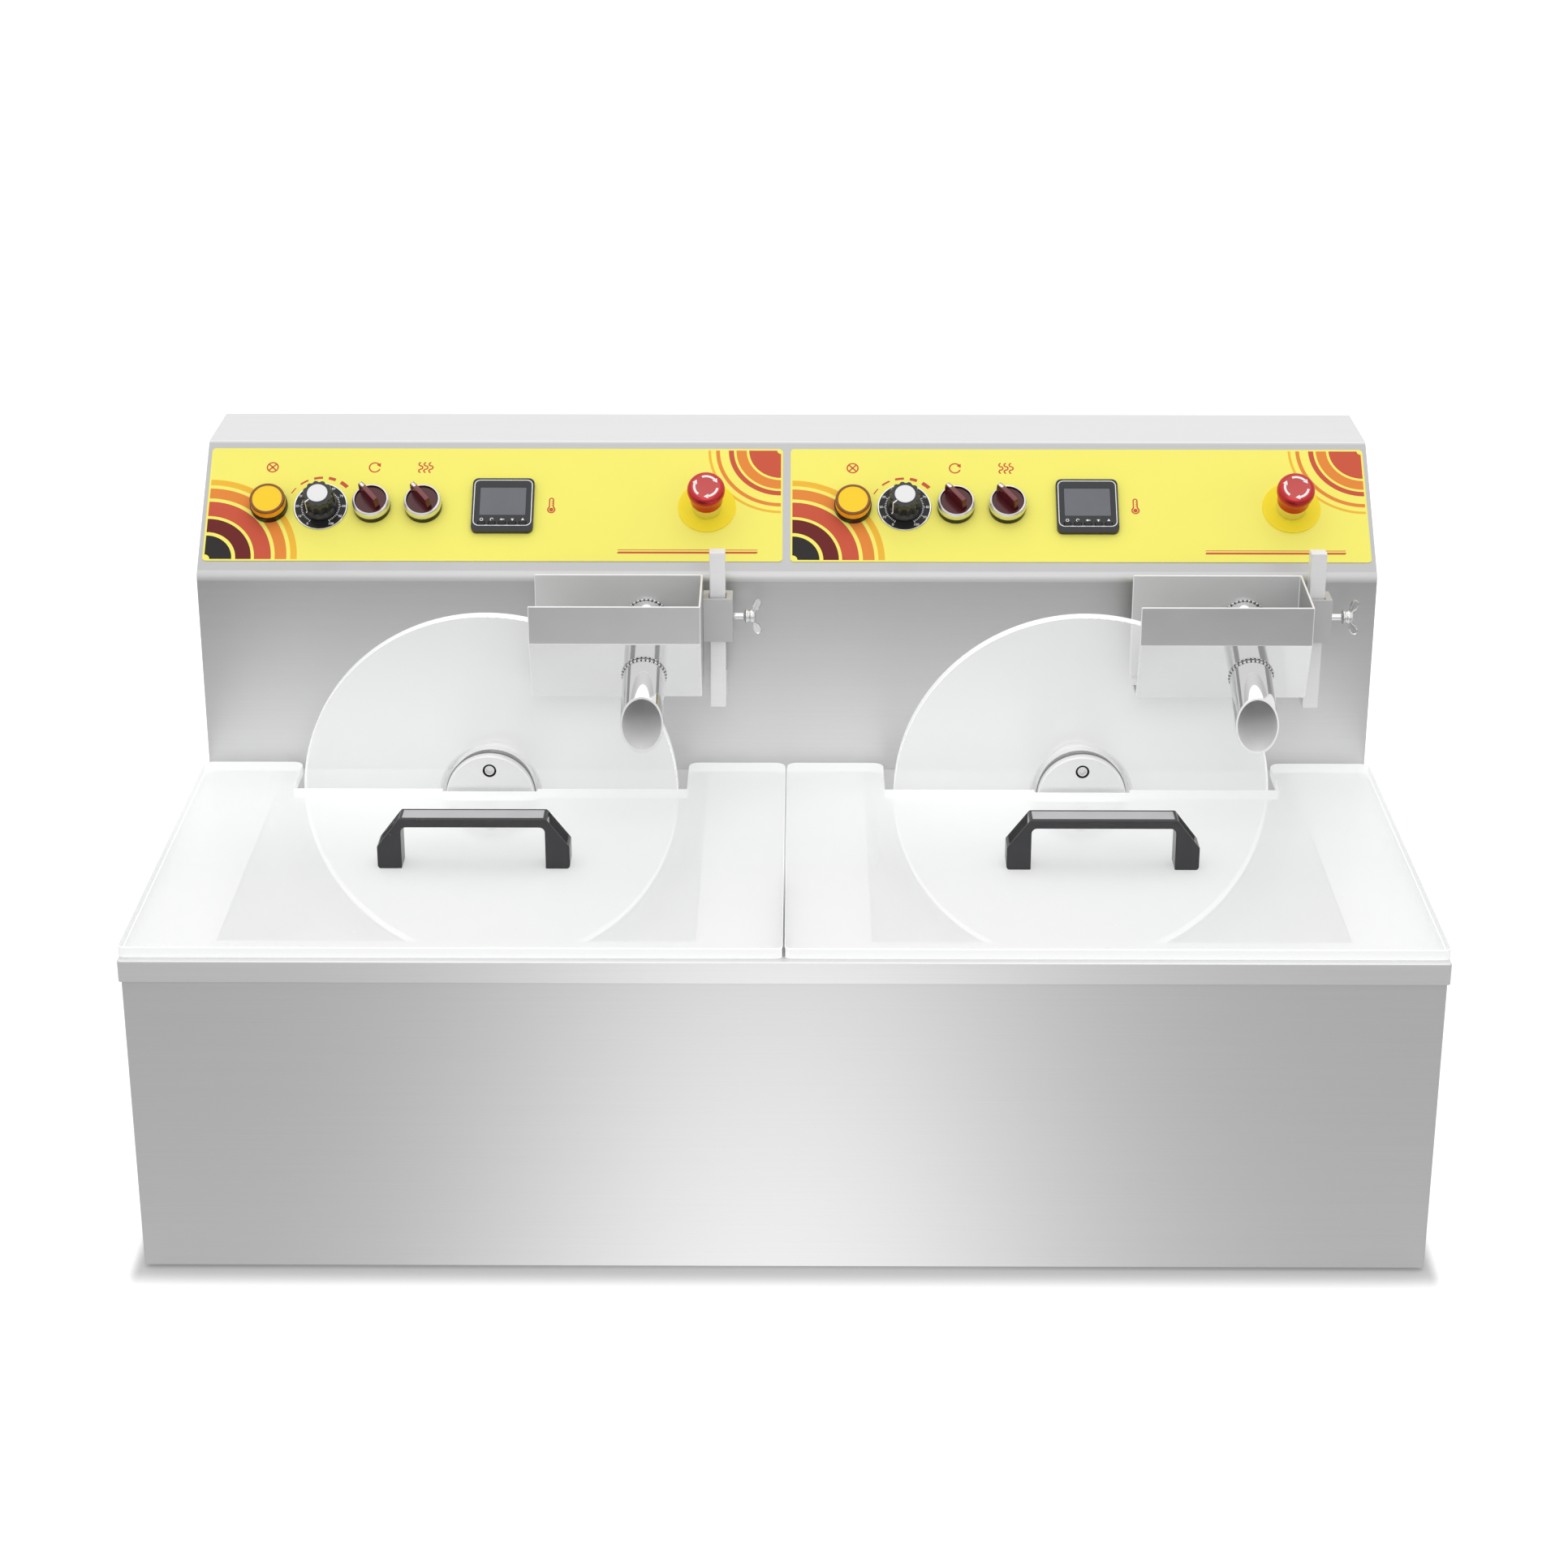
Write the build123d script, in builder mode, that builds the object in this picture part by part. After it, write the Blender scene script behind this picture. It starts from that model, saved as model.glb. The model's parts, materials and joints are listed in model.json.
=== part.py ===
from build123d import *
import os
from math import atan2, cos, hypot, radians, sin, tan

# Two-tank chocolate melting machine, with one solid for each piece.
# Millimetres. X runs to the right, Y to the back, Z up.
# The origin is on the table, under the middle of the machine.

# Cabinet
body_width = 908.6
body_depth = 534.0
sheet = 1.5
skirt_gap = 3.0
skirt_corner = 2.0
fit = 0.2
front_y = -body_depth / 2
back_y = body_depth / 2

# Deck
deck_top = 241.0
lip_height = 16.0
deck_edge = 1.2
deck_corner = 2.0

# Console
console_depth = 171.0
fold_z = 399.0
top_z = 481.0
slope_run = 91.0
bend_radius = 10.0
wall_y = back_y - console_depth
slope_rise = top_z - fold_z
slope_angle = atan2(slope_rise, slope_run)

# Feet and rear panel
foot_height = 12.0
foot_radius = 14.0
foot_top_radius = 18.0
foot_edge = 1.5
foot_spacing_x = 800.0
foot_spacing_y = 440.0
tray_height = 14.0
vent_length = 70.0
vent_width = 5.0
vent_pitch_x = 90.0
vent_pitch_z = 16.0
vent_columns = 3
vent_rows = 9
base_vent_pitch_x = 120.0
base_vent_pitch_y = 24.0
base_vent_columns = 5
base_vent_rows = 6
inlet_x = 330.0
inlet_z = 60.0
inlet_width = 50.0
inlet_height = 26.0
inlet_socket_width = 27.0
inlet_socket_height = 20.0
inlet_proud = sheet + fit
inlet_corner = 3.0
inlet_depth = 30.0
inlet_recess = 17.0
blade_pitch = 7.0
blade_stagger = 2.0
blade_width = 2.0
blade_height = 4.0
blade_length = 14.0

# The two units
unit_offset = 227.0
units = {"left": -unit_offset, "right": unit_offset}

# Tank: a half-round trough about the wheel's axle
axle_z = 242.0
tank_radius = 166.0
tank_front = front_y + 33.0
tank_length = wall_y - tank_front
tank_rim = deck_top - sheet
tank_flange = 10.0
heater_thickness = 3.0
heater_arc = 100.0
heater_length = 250.0
probe_angle = 200.0
probe_radius = 3.0
probe_block = 14.0
probe_length = 44.0

# Wheel and its drive
wheel_radius = 144.0
wheel_thickness = 10.0
wheel_edge = 1.0
wheel_front = front_y + 304.0
wheel_back = wheel_front + wheel_thickness
hub_radius = 34.0
hub_plate_thickness = 8.0
hub_chamfer = 1.0
hub_flange_thickness = 8.0
collar_radius = 23.0
collar_end = wheel_back + 40.0
shaft_radius = 10.0
shaft_clearance = 0.05
shaft_end = wall_y + 35.0
hub_screw_circle = 22.0
hub_screw_radius = 3.0
hub_screw_head = 5.0
hub_screw_socket = 5.0
hub_screw_socket_depth = 3.0
counterbore_depth = 6.0
centre_mark_radius = 2.5
centre_mark_taper = 40.0
seal_flange_radius = 23.0
seal_flange_thickness = 4.0
seal_spigot_radius = 17.0
gearbox_size = 80.0
gearbox_corner = 5.0
gearbox_length = 48.0
gearbox_bore_depth = 40.0
motor_radius = 37.0
motor_length = 95.0

# Scraper box: a hopper of sheet metal that straddles the wheel
box_left = 36.0
box_right = 164.0
box_front = front_y + 261.5
box_back = box_front + 68.0
box_bottom = 331.0
box_fold_z = 378.5
box_front_top = 408.0
box_back_top = 411.5
box_setback = 18.0
box_wheel_gap = 1.0

# Spout: a tube from the box's back wall, through its sloped front
spout_x = 121.0
spout_radius = 16.0
spout_wall = 1.5
spout_drop = radians(25.0)
spout_root_z = 376.5
spout_mouth_y = front_y + 225.2
mouth_lean = radians(15.0)
spout_fit = 0.05
inlet_window_front = box_front + 26.0
inlet_window_back = box_back - 13.0

# Post, clamp and wing screw
post_x = 175.0
post_size = 12.0
post_front = front_y + 322.0
post_bottom = 307.0
post_top = 430.5
post_leg_height = 16.0
post_edge = 1.0
clamp_right = 186.5
clamp_front = post_front - 5.0
clamp_depth = 22.0
clamp_bottom = 361.5
clamp_height = 34.0
clamp_slack = 0.5
clamp_front_slack = 2.0
screw_radius = 3.0
screw_clearance = 0.05
screw_tip_gap = 0.4
screw_hub_radius = 5.5
screw_hub_start = 196.0
screw_hub_length = 8.0
wing_span = 27.0
wing_thickness = 3.2
wing_radius = 2.8
wing_reach = 4.4
wing_root = 1.5

# Lid and handle
lid_thickness = 8.0
lid_rest = deck_top + 0.3
lid_outer = 456.0
lid_inner = 0.5
lid_front = front_y + 3.0
lid_back = front_y + 353.0
lid_corner = 5.0
lid_edge = 1.0
notch_width = 302.0
notch_front = front_y + 297.0
notch_corner = 8.0
hub_notch_width = 72.0
hub_notch_depth = 5.5
handle_length = 139.0
handle_top_length = 105.0
handle_depth = 20.0
handle_shift = 2.4
handle_front = front_y + 140.0
handle_height = 39.0
handle_leg = 17.6
handle_shoulder = 17.0
handle_bar = 7.0
handle_edge = 1.5
handle_inner_corner = 4.0
handle_foot_corner = 2.5
handle_wall = 2.0
handle_well_floor = 8.0

# Panel overlay and the row of devices on the slope
overlay_width = 448.0
overlay_height = 102.0
overlay_rise = 2.5
overlay_thickness = 0.5
overlay_corner = 3.0
pilot_x = -175.5
speed_x = -135.5
motor_switch_x = -95.5
heat_switch_x = -55.5
controller_x = 6.5
stop_x = 165.0
panel_hole_radius = 11.2
dial_hole_radius = 5.0
collar_height = 5.5
collar_outer = 14.5
spigot_radius = 11.0
spigot_depth = 22.0
lens_radius = 13.8
lens_height = 7.6
lens_edge = 1.5
dial_radius = 20.8
dial_thickness = 1.0
dial_gap = 0.5
pot_bush_radius = 4.8
pot_radius = 12.0
pot_length = 16.0
pot_bore_depth = 11.0

# Speed knob
knob_skirt_radius = 13.5
knob_skirt_height = 4.0
knob_radius = 12.0
knob_height = 18.5
knob_flutes = 12
knob_flute_radius = 1.9
knob_cap_radius = 8.0
knob_cap_height = 1.0
knob_stem_radius = 3.0
knob_stem_length = 10.0
stem_clearance = 0.05

# Selector switches
bezel_height = 6.5
bezel_inner = 12.5
selector_radius = 12.2
selector_disc = 4.5
selector_floor_gap = 0.3
selector_fin_width = 4.0
selector_fin_tail = 10.0
selector_fin_tip = 11.8
selector_fin_height = 12.2
selector_rest_angle = 40.0
selector_edge = 0.8
selector_stem_radius = 5.0
selector_stem_length = 14.0
selector_bore_depth = 15.0

# Temperature controller
case_size = 48.0
case_bezel = 4.0
case_corner = 4.5
case_body = 44.6
case_cutout = 45.2
case_depth = 60.0
key_count = 5
key_pitch = 8.0
key_width = 5.2
key_height = 3.0
key_row = -17.0
key_length = 2.4
key_proud = 0.6
key_gap = 0.3
key_travel = 0.6
screen_width = 36.0
screen_height = 25.0
screen_rise = 3.2
screen_depth = 0.8

# Stop button
stop_disc_radius = 22.5
stop_disc_thickness = 1.0
disc_gap = 0.05
stop_collar_radius = 11.5
stop_collar_top = 15.0
stop_spigot_depth = 24.0
stop_bore_radius = 7.05
stop_stem_radius = 7.0
stop_stem_bottom = -12.0
stop_skirt_radius = 12.8
stop_skirt_inner = 11.8
stop_skirt_bottom = 13.0
stop_head_radius = 14.6
stop_head_bottom = 22.0
stop_head_top = 32.0
stop_head_edge = 4.0
stop_head_gap = 0.3
stop_pin_radius = 4.0
stop_pin_bore = 4.05
stop_pin_top = 28.0


def upright(y):
    """Plane at depth y that faces the front, with X to the right and Z up."""
    return Plane.XZ.offset(-y)


panel = Plane(
    origin=(0, wall_y + slope_run / 2, fold_z + slope_rise / 2),
    x_dir=(1, 0, 0),
    z_dir=(0, -sin(slope_angle), cos(slope_angle)),
)


def on_panel(x, height=0.0):
    """Plane on the sloped panel, centred on a device at x, raised by height."""
    return Plane(origin=panel.from_local_coords((x, 0, height)), x_dir=panel.x_dir, z_dir=panel.z_dir)


def save(builder, name):
    """Label a finished piece and write it as its own file."""
    builder.part.label = name
    export_step(builder.part, f"parts/{name}.step")


os.makedirs("parts", exist_ok=True)
face = overlay_thickness

# Cabinet shell: front and two sides, open at the back and below
with BuildPart() as cabinet_shell:
    with BuildSketch(Plane.XY.offset(skirt_gap)):
        Rectangle(body_width, body_depth)
        with Locations((0, sheet)):
            Rectangle(body_width - 2 * sheet, body_depth, mode=Mode.SUBTRACT)
    extrude(amount=tank_rim - skirt_gap)
    uprights = cabinet_shell.edges().filter_by(Axis.Z)
    fillet(uprights.filter_by_position(Axis.Y, front_y - fit, front_y + fit), skirt_corner)
save(cabinet_shell, "cabinet_shell")

# Base plate: a shallow tray on the feet, with air slots
with BuildPart() as base_plate:
    with BuildSketch(Plane.XY.offset(foot_height)):
        Rectangle(body_width - 2 * sheet, body_depth - 2 * sheet)
    extrude(amount=tray_height)
    tray_mouth = base_plate.faces().sort_by(Axis.Z)[-1]
    offset(openings=tray_mouth, amount=-sheet)
    with BuildSketch(Plane.XY.offset(foot_height)):
        with GridLocations(base_vent_pitch_x, base_vent_pitch_y, base_vent_columns, base_vent_rows):
            SlotOverall(vent_length, vent_width)
    extrude(amount=sheet, mode=Mode.SUBTRACT)
save(base_plate, "base_plate")

# Rubber feet
with BuildPart() as rubber_feet:
    with GridLocations(foot_spacing_x, foot_spacing_y, 2, 2):
        Cone(foot_radius, foot_top_radius, foot_height, align=(Align.CENTER, Align.CENTER, Align.MIN))
    fillet(rubber_feet.edges().group_by(Axis.Z)[0], foot_edge)
save(rubber_feet, "rubber_feet")

# Top deck: a sheet with a turned-down lip at the front and sides, and one opening for each tank
deck_half = body_width / 2 + fit + sheet
deck_front = front_y - fit - sheet
deck_depth = wall_y - deck_front
with BuildPart() as top_deck:
    with BuildSketch(Plane.XY.offset(deck_top - lip_height)):
        with Locations((0, deck_front + deck_depth / 2)):
            Rectangle(2 * deck_half, deck_depth)
    extrude(amount=lip_height)
    with BuildSketch(Plane.XY.offset(deck_top - lip_height)):
        with Locations((0, deck_front + sheet + deck_depth / 2)):
            Rectangle(2 * (deck_half - sheet), deck_depth)
    extrude(amount=lip_height - sheet, mode=Mode.SUBTRACT)
    with BuildSketch(Plane.XY.offset(deck_top)):
        with Locations(*[(x, tank_front + tank_length / 2) for x in units.values()]):
            Rectangle(2 * tank_radius, tank_length)
    extrude(amount=-sheet, mode=Mode.SUBTRACT)
    corners = top_deck.edges().filter_by(Axis.Z)
    fillet(corners.filter_by_position(Axis.Y, deck_front - fit, deck_front + fit), deck_corner)
    rim_edges = top_deck.edges().group_by(Axis.Z)[-1]
    front_edges = rim_edges.filter_by_position(Axis.Y, deck_front - fit, deck_front + deck_corner)
    side_edges = rim_edges.filter_by(Axis.Y).group_by(Axis.X)
    fillet(front_edges + side_edges[0] + side_edges[-1], deck_edge)
save(top_deck, "top_deck")

# Tanks: half-round troughs with flat ends, hung under the deck by a flange
for side, unit_x in units.items():
    with BuildPart() as tank:
        with BuildSketch(upright(wall_y + sheet)):
            with Locations((unit_x, axle_z)):
                Circle(tank_radius + sheet)
        extrude(amount=tank_length + 2 * sheet)
        split(bisect_by=Plane.XY.offset(tank_rim), keep=Keep.BOTTOM)
        with BuildSketch(Plane.XY.offset(tank_rim - sheet)):
            with Locations((unit_x, wall_y - (tank_length + tank_flange) / 2)):
                Rectangle(2 * (tank_radius + tank_flange), tank_length + tank_flange)
        extrude(amount=sheet)
        with BuildSketch(upright(wall_y)):
            with Locations((unit_x, axle_z)):
                Circle(tank_radius)
        extrude(amount=tank_length, mode=Mode.SUBTRACT)
        with BuildSketch(upright(wall_y)):
            with Locations((unit_x, axle_z)):
                Circle(seal_spigot_radius + fit)
        extrude(amount=-2 * sheet, mode=Mode.SUBTRACT)
    save(tank, f"{side}_tank")

# Heater mats bonded under the tanks
heater_radius = tank_radius + sheet + fit
heater_outer = heater_radius + heater_thickness
heater_start = -90 - heater_arc / 2
with BuildPart() as tank_heaters:
    for unit_x in units.values():
        with BuildSketch(upright(tank_front + (tank_length + heater_length) / 2)):
            with BuildLine():
                inner = CenterArc((unit_x, axle_z), heater_radius, heater_start, heater_arc)
                outer = CenterArc((unit_x, axle_z), heater_outer, heater_start, heater_arc)
                Line(inner @ 0, outer @ 0)
                Line(inner @ 1, outer @ 1)
            make_face()
        extrude(amount=heater_length)
save(tank_heaters, "tank_heaters")

# Temperature probes: a clamp block on each tank's outer wall, with the probe's stem along it
probe_distance = heater_radius + probe_block / 2
with BuildPart() as temperature_probes:
    for unit_x in units.values():
        probe_place = (
            unit_x + probe_distance * cos(radians(probe_angle)),
            axle_z + probe_distance * sin(radians(probe_angle)),
        )
        with BuildSketch(upright(tank_front + tank_length / 2)):
            with Locations(Location(probe_place, probe_angle)):
                Rectangle(probe_block, probe_block)
        extrude(amount=probe_block)
        with BuildSketch(upright(tank_front + tank_length / 2)):
            with Locations(probe_place):
                Circle(probe_radius)
        extrude(amount=-probe_length)
save(temperature_probes, "temperature_probes")

# Console cover: wall, slope and top bent from one sheet, with cheeks, open at the back and below
with BuildPart() as console_cover:
    with BuildSketch(Plane.YZ.offset(-body_width / 2)):
        with BuildLine():
            Polyline(
                (wall_y, tank_rim),
                (wall_y, fold_z),
                (wall_y + slope_run, top_z),
                (back_y, top_z),
                (back_y, tank_rim),
                close=True,
            )
        make_face()
    extrude(amount=body_width)
    long_edges = console_cover.edges().filter_by(Axis.X)
    fold_edge = long_edges.filter_by_position(Axis.Z, fold_z - fit, fold_z + fit)
    top_edge = long_edges.filter_by_position(Axis.Y, wall_y + slope_run - fit, wall_y + slope_run + fit)
    fillet(fold_edge + top_edge, bend_radius)
    below = console_cover.faces().sort_by(Axis.Z)[0]
    behind = console_cover.faces().sort_by(Axis.Y)[-1]
    offset(openings=[below, behind], amount=-sheet)
    with BuildSketch(panel.offset(sheet)):
        for unit_x in units.values():
            with Locations(*[(unit_x + x, 0) for x in (pilot_x, motor_switch_x, heat_switch_x, stop_x)]):
                Circle(panel_hole_radius)
            with Locations((unit_x + speed_x, 0)):
                Circle(dial_hole_radius)
            with Locations((unit_x + controller_x, 0)):
                Rectangle(case_cutout, case_cutout)
    extrude(amount=-3 * sheet, mode=Mode.SUBTRACT)
    with BuildSketch(upright(wall_y - sheet)):
        with Locations(*[(x, axle_z) for x in units.values()]):
            Circle(seal_spigot_radius + fit)
    extrude(amount=-3 * sheet, mode=Mode.SUBTRACT)
save(console_cover, "console_cover")

# Rear panel with air slots behind each motor and a hole for the power inlet
with BuildPart() as rear_panel:
    with BuildSketch(upright(back_y)):
        with Locations((0, (top_z - sheet + skirt_gap) / 2)):
            Rectangle(body_width - 2 * sheet, top_z - sheet - skirt_gap)
        for unit_x in units.values():
            with Locations((unit_x, axle_z)):
                with GridLocations(vent_pitch_x, vent_pitch_z, vent_columns, vent_rows):
                    SlotOverall(vent_length, vent_width, mode=Mode.SUBTRACT)
        with Locations((inlet_x, inlet_z)):
            Rectangle(inlet_socket_width + 4 * fit, inlet_socket_height + 4 * fit, mode=Mode.SUBTRACT)
    extrude(amount=sheet)
save(rear_panel, "rear_panel")

# Power inlet: a flanged socket in the rear panel, with three blades in its recess
with BuildPart() as power_inlet:
    with BuildSketch(upright(back_y)):
        with Locations((inlet_x, inlet_z)):
            RectangleRounded(inlet_width, inlet_height, inlet_corner)
    extrude(amount=-inlet_proud)
    with BuildSketch(upright(back_y)):
        with Locations((inlet_x, inlet_z)):
            Rectangle(inlet_socket_width, inlet_socket_height)
    extrude(amount=inlet_depth)
    with BuildSketch(upright(back_y + inlet_proud)):
        with Locations((inlet_x, inlet_z)):
            RectangleRounded(inlet_socket_width - 2 * sheet, inlet_socket_height - 2 * sheet, inlet_corner)
    extrude(amount=inlet_recess, mode=Mode.SUBTRACT)
    with BuildSketch(upright(back_y + inlet_proud - inlet_recess)):
        with Locations(
            (inlet_x - blade_pitch, inlet_z - blade_stagger),
            (inlet_x, inlet_z + blade_stagger),
            (inlet_x + blade_pitch, inlet_z - blade_stagger),
        ):
            Rectangle(blade_width, blade_height)
    extrude(amount=-blade_length)
save(power_inlet, "power_inlet")

# Shaft seals in the console wall, and the gear motors bolted behind it
with BuildPart() as shaft_bearings:
    for unit_x in units.values():
        with BuildSketch(upright(wall_y)):
            with Locations((unit_x, axle_z)):
                Circle(seal_flange_radius)
        extrude(amount=seal_flange_thickness)
        with BuildSketch(upright(wall_y)):
            with Locations((unit_x, axle_z)):
                Circle(seal_spigot_radius)
        extrude(amount=-sheet)
        with BuildSketch(upright(wall_y - seal_flange_thickness)):
            with Locations((unit_x, axle_z)):
                Circle(shaft_radius + shaft_clearance)
        extrude(amount=-(seal_flange_thickness + sheet), mode=Mode.SUBTRACT)
save(shaft_bearings, "shaft_bearings")

gearbox_front = wall_y + sheet
with BuildPart() as gear_motors:
    for unit_x in units.values():
        with BuildSketch(upright(gearbox_front)):
            with Locations((unit_x, axle_z)):
                RectangleRounded(gearbox_size, gearbox_size, gearbox_corner)
        extrude(amount=-gearbox_length)
        with BuildSketch(upright(gearbox_front + gearbox_length)):
            with Locations((unit_x, axle_z)):
                Circle(motor_radius)
        extrude(amount=-motor_length)
        with BuildSketch(upright(gearbox_front)):
            with Locations((unit_x, axle_z)):
                Circle(shaft_radius + shaft_clearance)
        extrude(amount=-gearbox_bore_depth, mode=Mode.SUBTRACT)
save(gear_motors, "gear_motors")

# Wheel, its hub plate and screws, and the shaft with its rear flange and collar
for side, unit_x in units.items():
    screw_places = [(unit_x, axle_z + hub_screw_circle), (unit_x, axle_z - hub_screw_circle)]

    with BuildPart() as wheel_shaft:
        with BuildSketch(upright(wheel_back)):
            with Locations((unit_x, axle_z)):
                Circle(hub_radius)
        extrude(amount=-hub_flange_thickness)
        chamfer(wheel_shaft.edges().filter_by(GeomType.CIRCLE), hub_chamfer)
        with BuildSketch(upright(wheel_back + hub_flange_thickness)):
            with Locations((unit_x, axle_z)):
                Circle(collar_radius)
        extrude(amount=-(collar_end - wheel_back - hub_flange_thickness))
        with BuildSketch(upright(wheel_front)):
            with Locations((unit_x, axle_z)):
                Circle(shaft_radius)
        extrude(amount=-(shaft_end - wheel_front))
        with BuildSketch(upright(wheel_back)):
            with Locations(*screw_places):
                Circle(hub_screw_radius + fit)
        extrude(amount=-hub_flange_thickness, mode=Mode.SUBTRACT)
    save(wheel_shaft, f"{side}_wheel_shaft")

    with BuildPart() as wheel_disc:
        with BuildSketch(upright(wheel_front)):
            with Locations((unit_x, axle_z)):
                Circle(wheel_radius)
                Circle(shaft_radius + fit, mode=Mode.SUBTRACT)
            with Locations(*screw_places):
                Circle(hub_screw_radius + fit, mode=Mode.SUBTRACT)
        extrude(amount=-wheel_thickness)
        rim = wheel_disc.edges().filter_by(GeomType.CIRCLE).sort_by(SortBy.RADIUS)[-2:]
        fillet(rim, wheel_edge)
    save(wheel_disc, f"{side}_wheel_disc")

    with BuildPart() as hub_plate:
        with BuildSketch(upright(wheel_front)):
            with Locations((unit_x, axle_z)):
                Circle(hub_radius)
            with Locations(*screw_places):
                Circle(hub_screw_radius + fit, mode=Mode.SUBTRACT)
        extrude(amount=hub_plate_thickness)
        plate_rim = hub_plate.edges().filter_by(GeomType.CIRCLE).sort_by(SortBy.RADIUS)[-2:]
        chamfer(plate_rim, hub_chamfer)
        with BuildSketch(upright(wheel_front - hub_plate_thickness)):
            with Locations(*screw_places):
                Circle(hub_screw_head + fit)
        extrude(amount=-counterbore_depth, mode=Mode.SUBTRACT)
        with BuildSketch(upright(wheel_front - hub_plate_thickness)):
            with Locations((unit_x, axle_z)):
                Circle(centre_mark_radius)
        extrude(amount=-centre_mark_radius, taper=centre_mark_taper, mode=Mode.SUBTRACT)
    save(hub_plate, f"{side}_hub_plate")

    head_seat = wheel_front - hub_plate_thickness + counterbore_depth
    with BuildPart() as hub_screws:
        with BuildSketch(upright(head_seat)):
            with Locations(*screw_places):
                Circle(hub_screw_head)
        extrude(amount=counterbore_depth - fit)
        with BuildSketch(upright(head_seat)):
            with Locations(*screw_places):
                Circle(hub_screw_radius)
        extrude(amount=-(wheel_back + hub_flange_thickness - head_seat))
        with BuildSketch(upright(head_seat - counterbore_depth + fit)):
            with Locations(*screw_places):
                RegularPolygon(hub_screw_socket / 2, 6, major_radius=False)
        extrude(amount=-hub_screw_socket_depth, mode=Mode.SUBTRACT)
    save(hub_screws, f"{side}_hub_screws")

# Scraper posts: square bars bent back to the console wall
with BuildPart() as scraper_posts:
    for unit_x in units.values():
        with BuildSketch(Plane.YZ.offset(unit_x + post_x - post_size / 2)):
            with BuildLine():
                Polyline(
                    (wall_y, post_bottom),
                    (post_front, post_bottom),
                    (post_front, post_top),
                    (post_front + post_size, post_top),
                    (post_front + post_size, post_bottom + post_leg_height),
                    (wall_y, post_bottom + post_leg_height),
                    close=True,
                )
            make_face()
        extrude(amount=post_size)
    front_edges = scraper_posts.edges().filter_by(Axis.Z).group_by(Axis.Y)[0]
    fillet(front_edges, post_edge)
save(scraper_posts, "scraper_posts")

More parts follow.
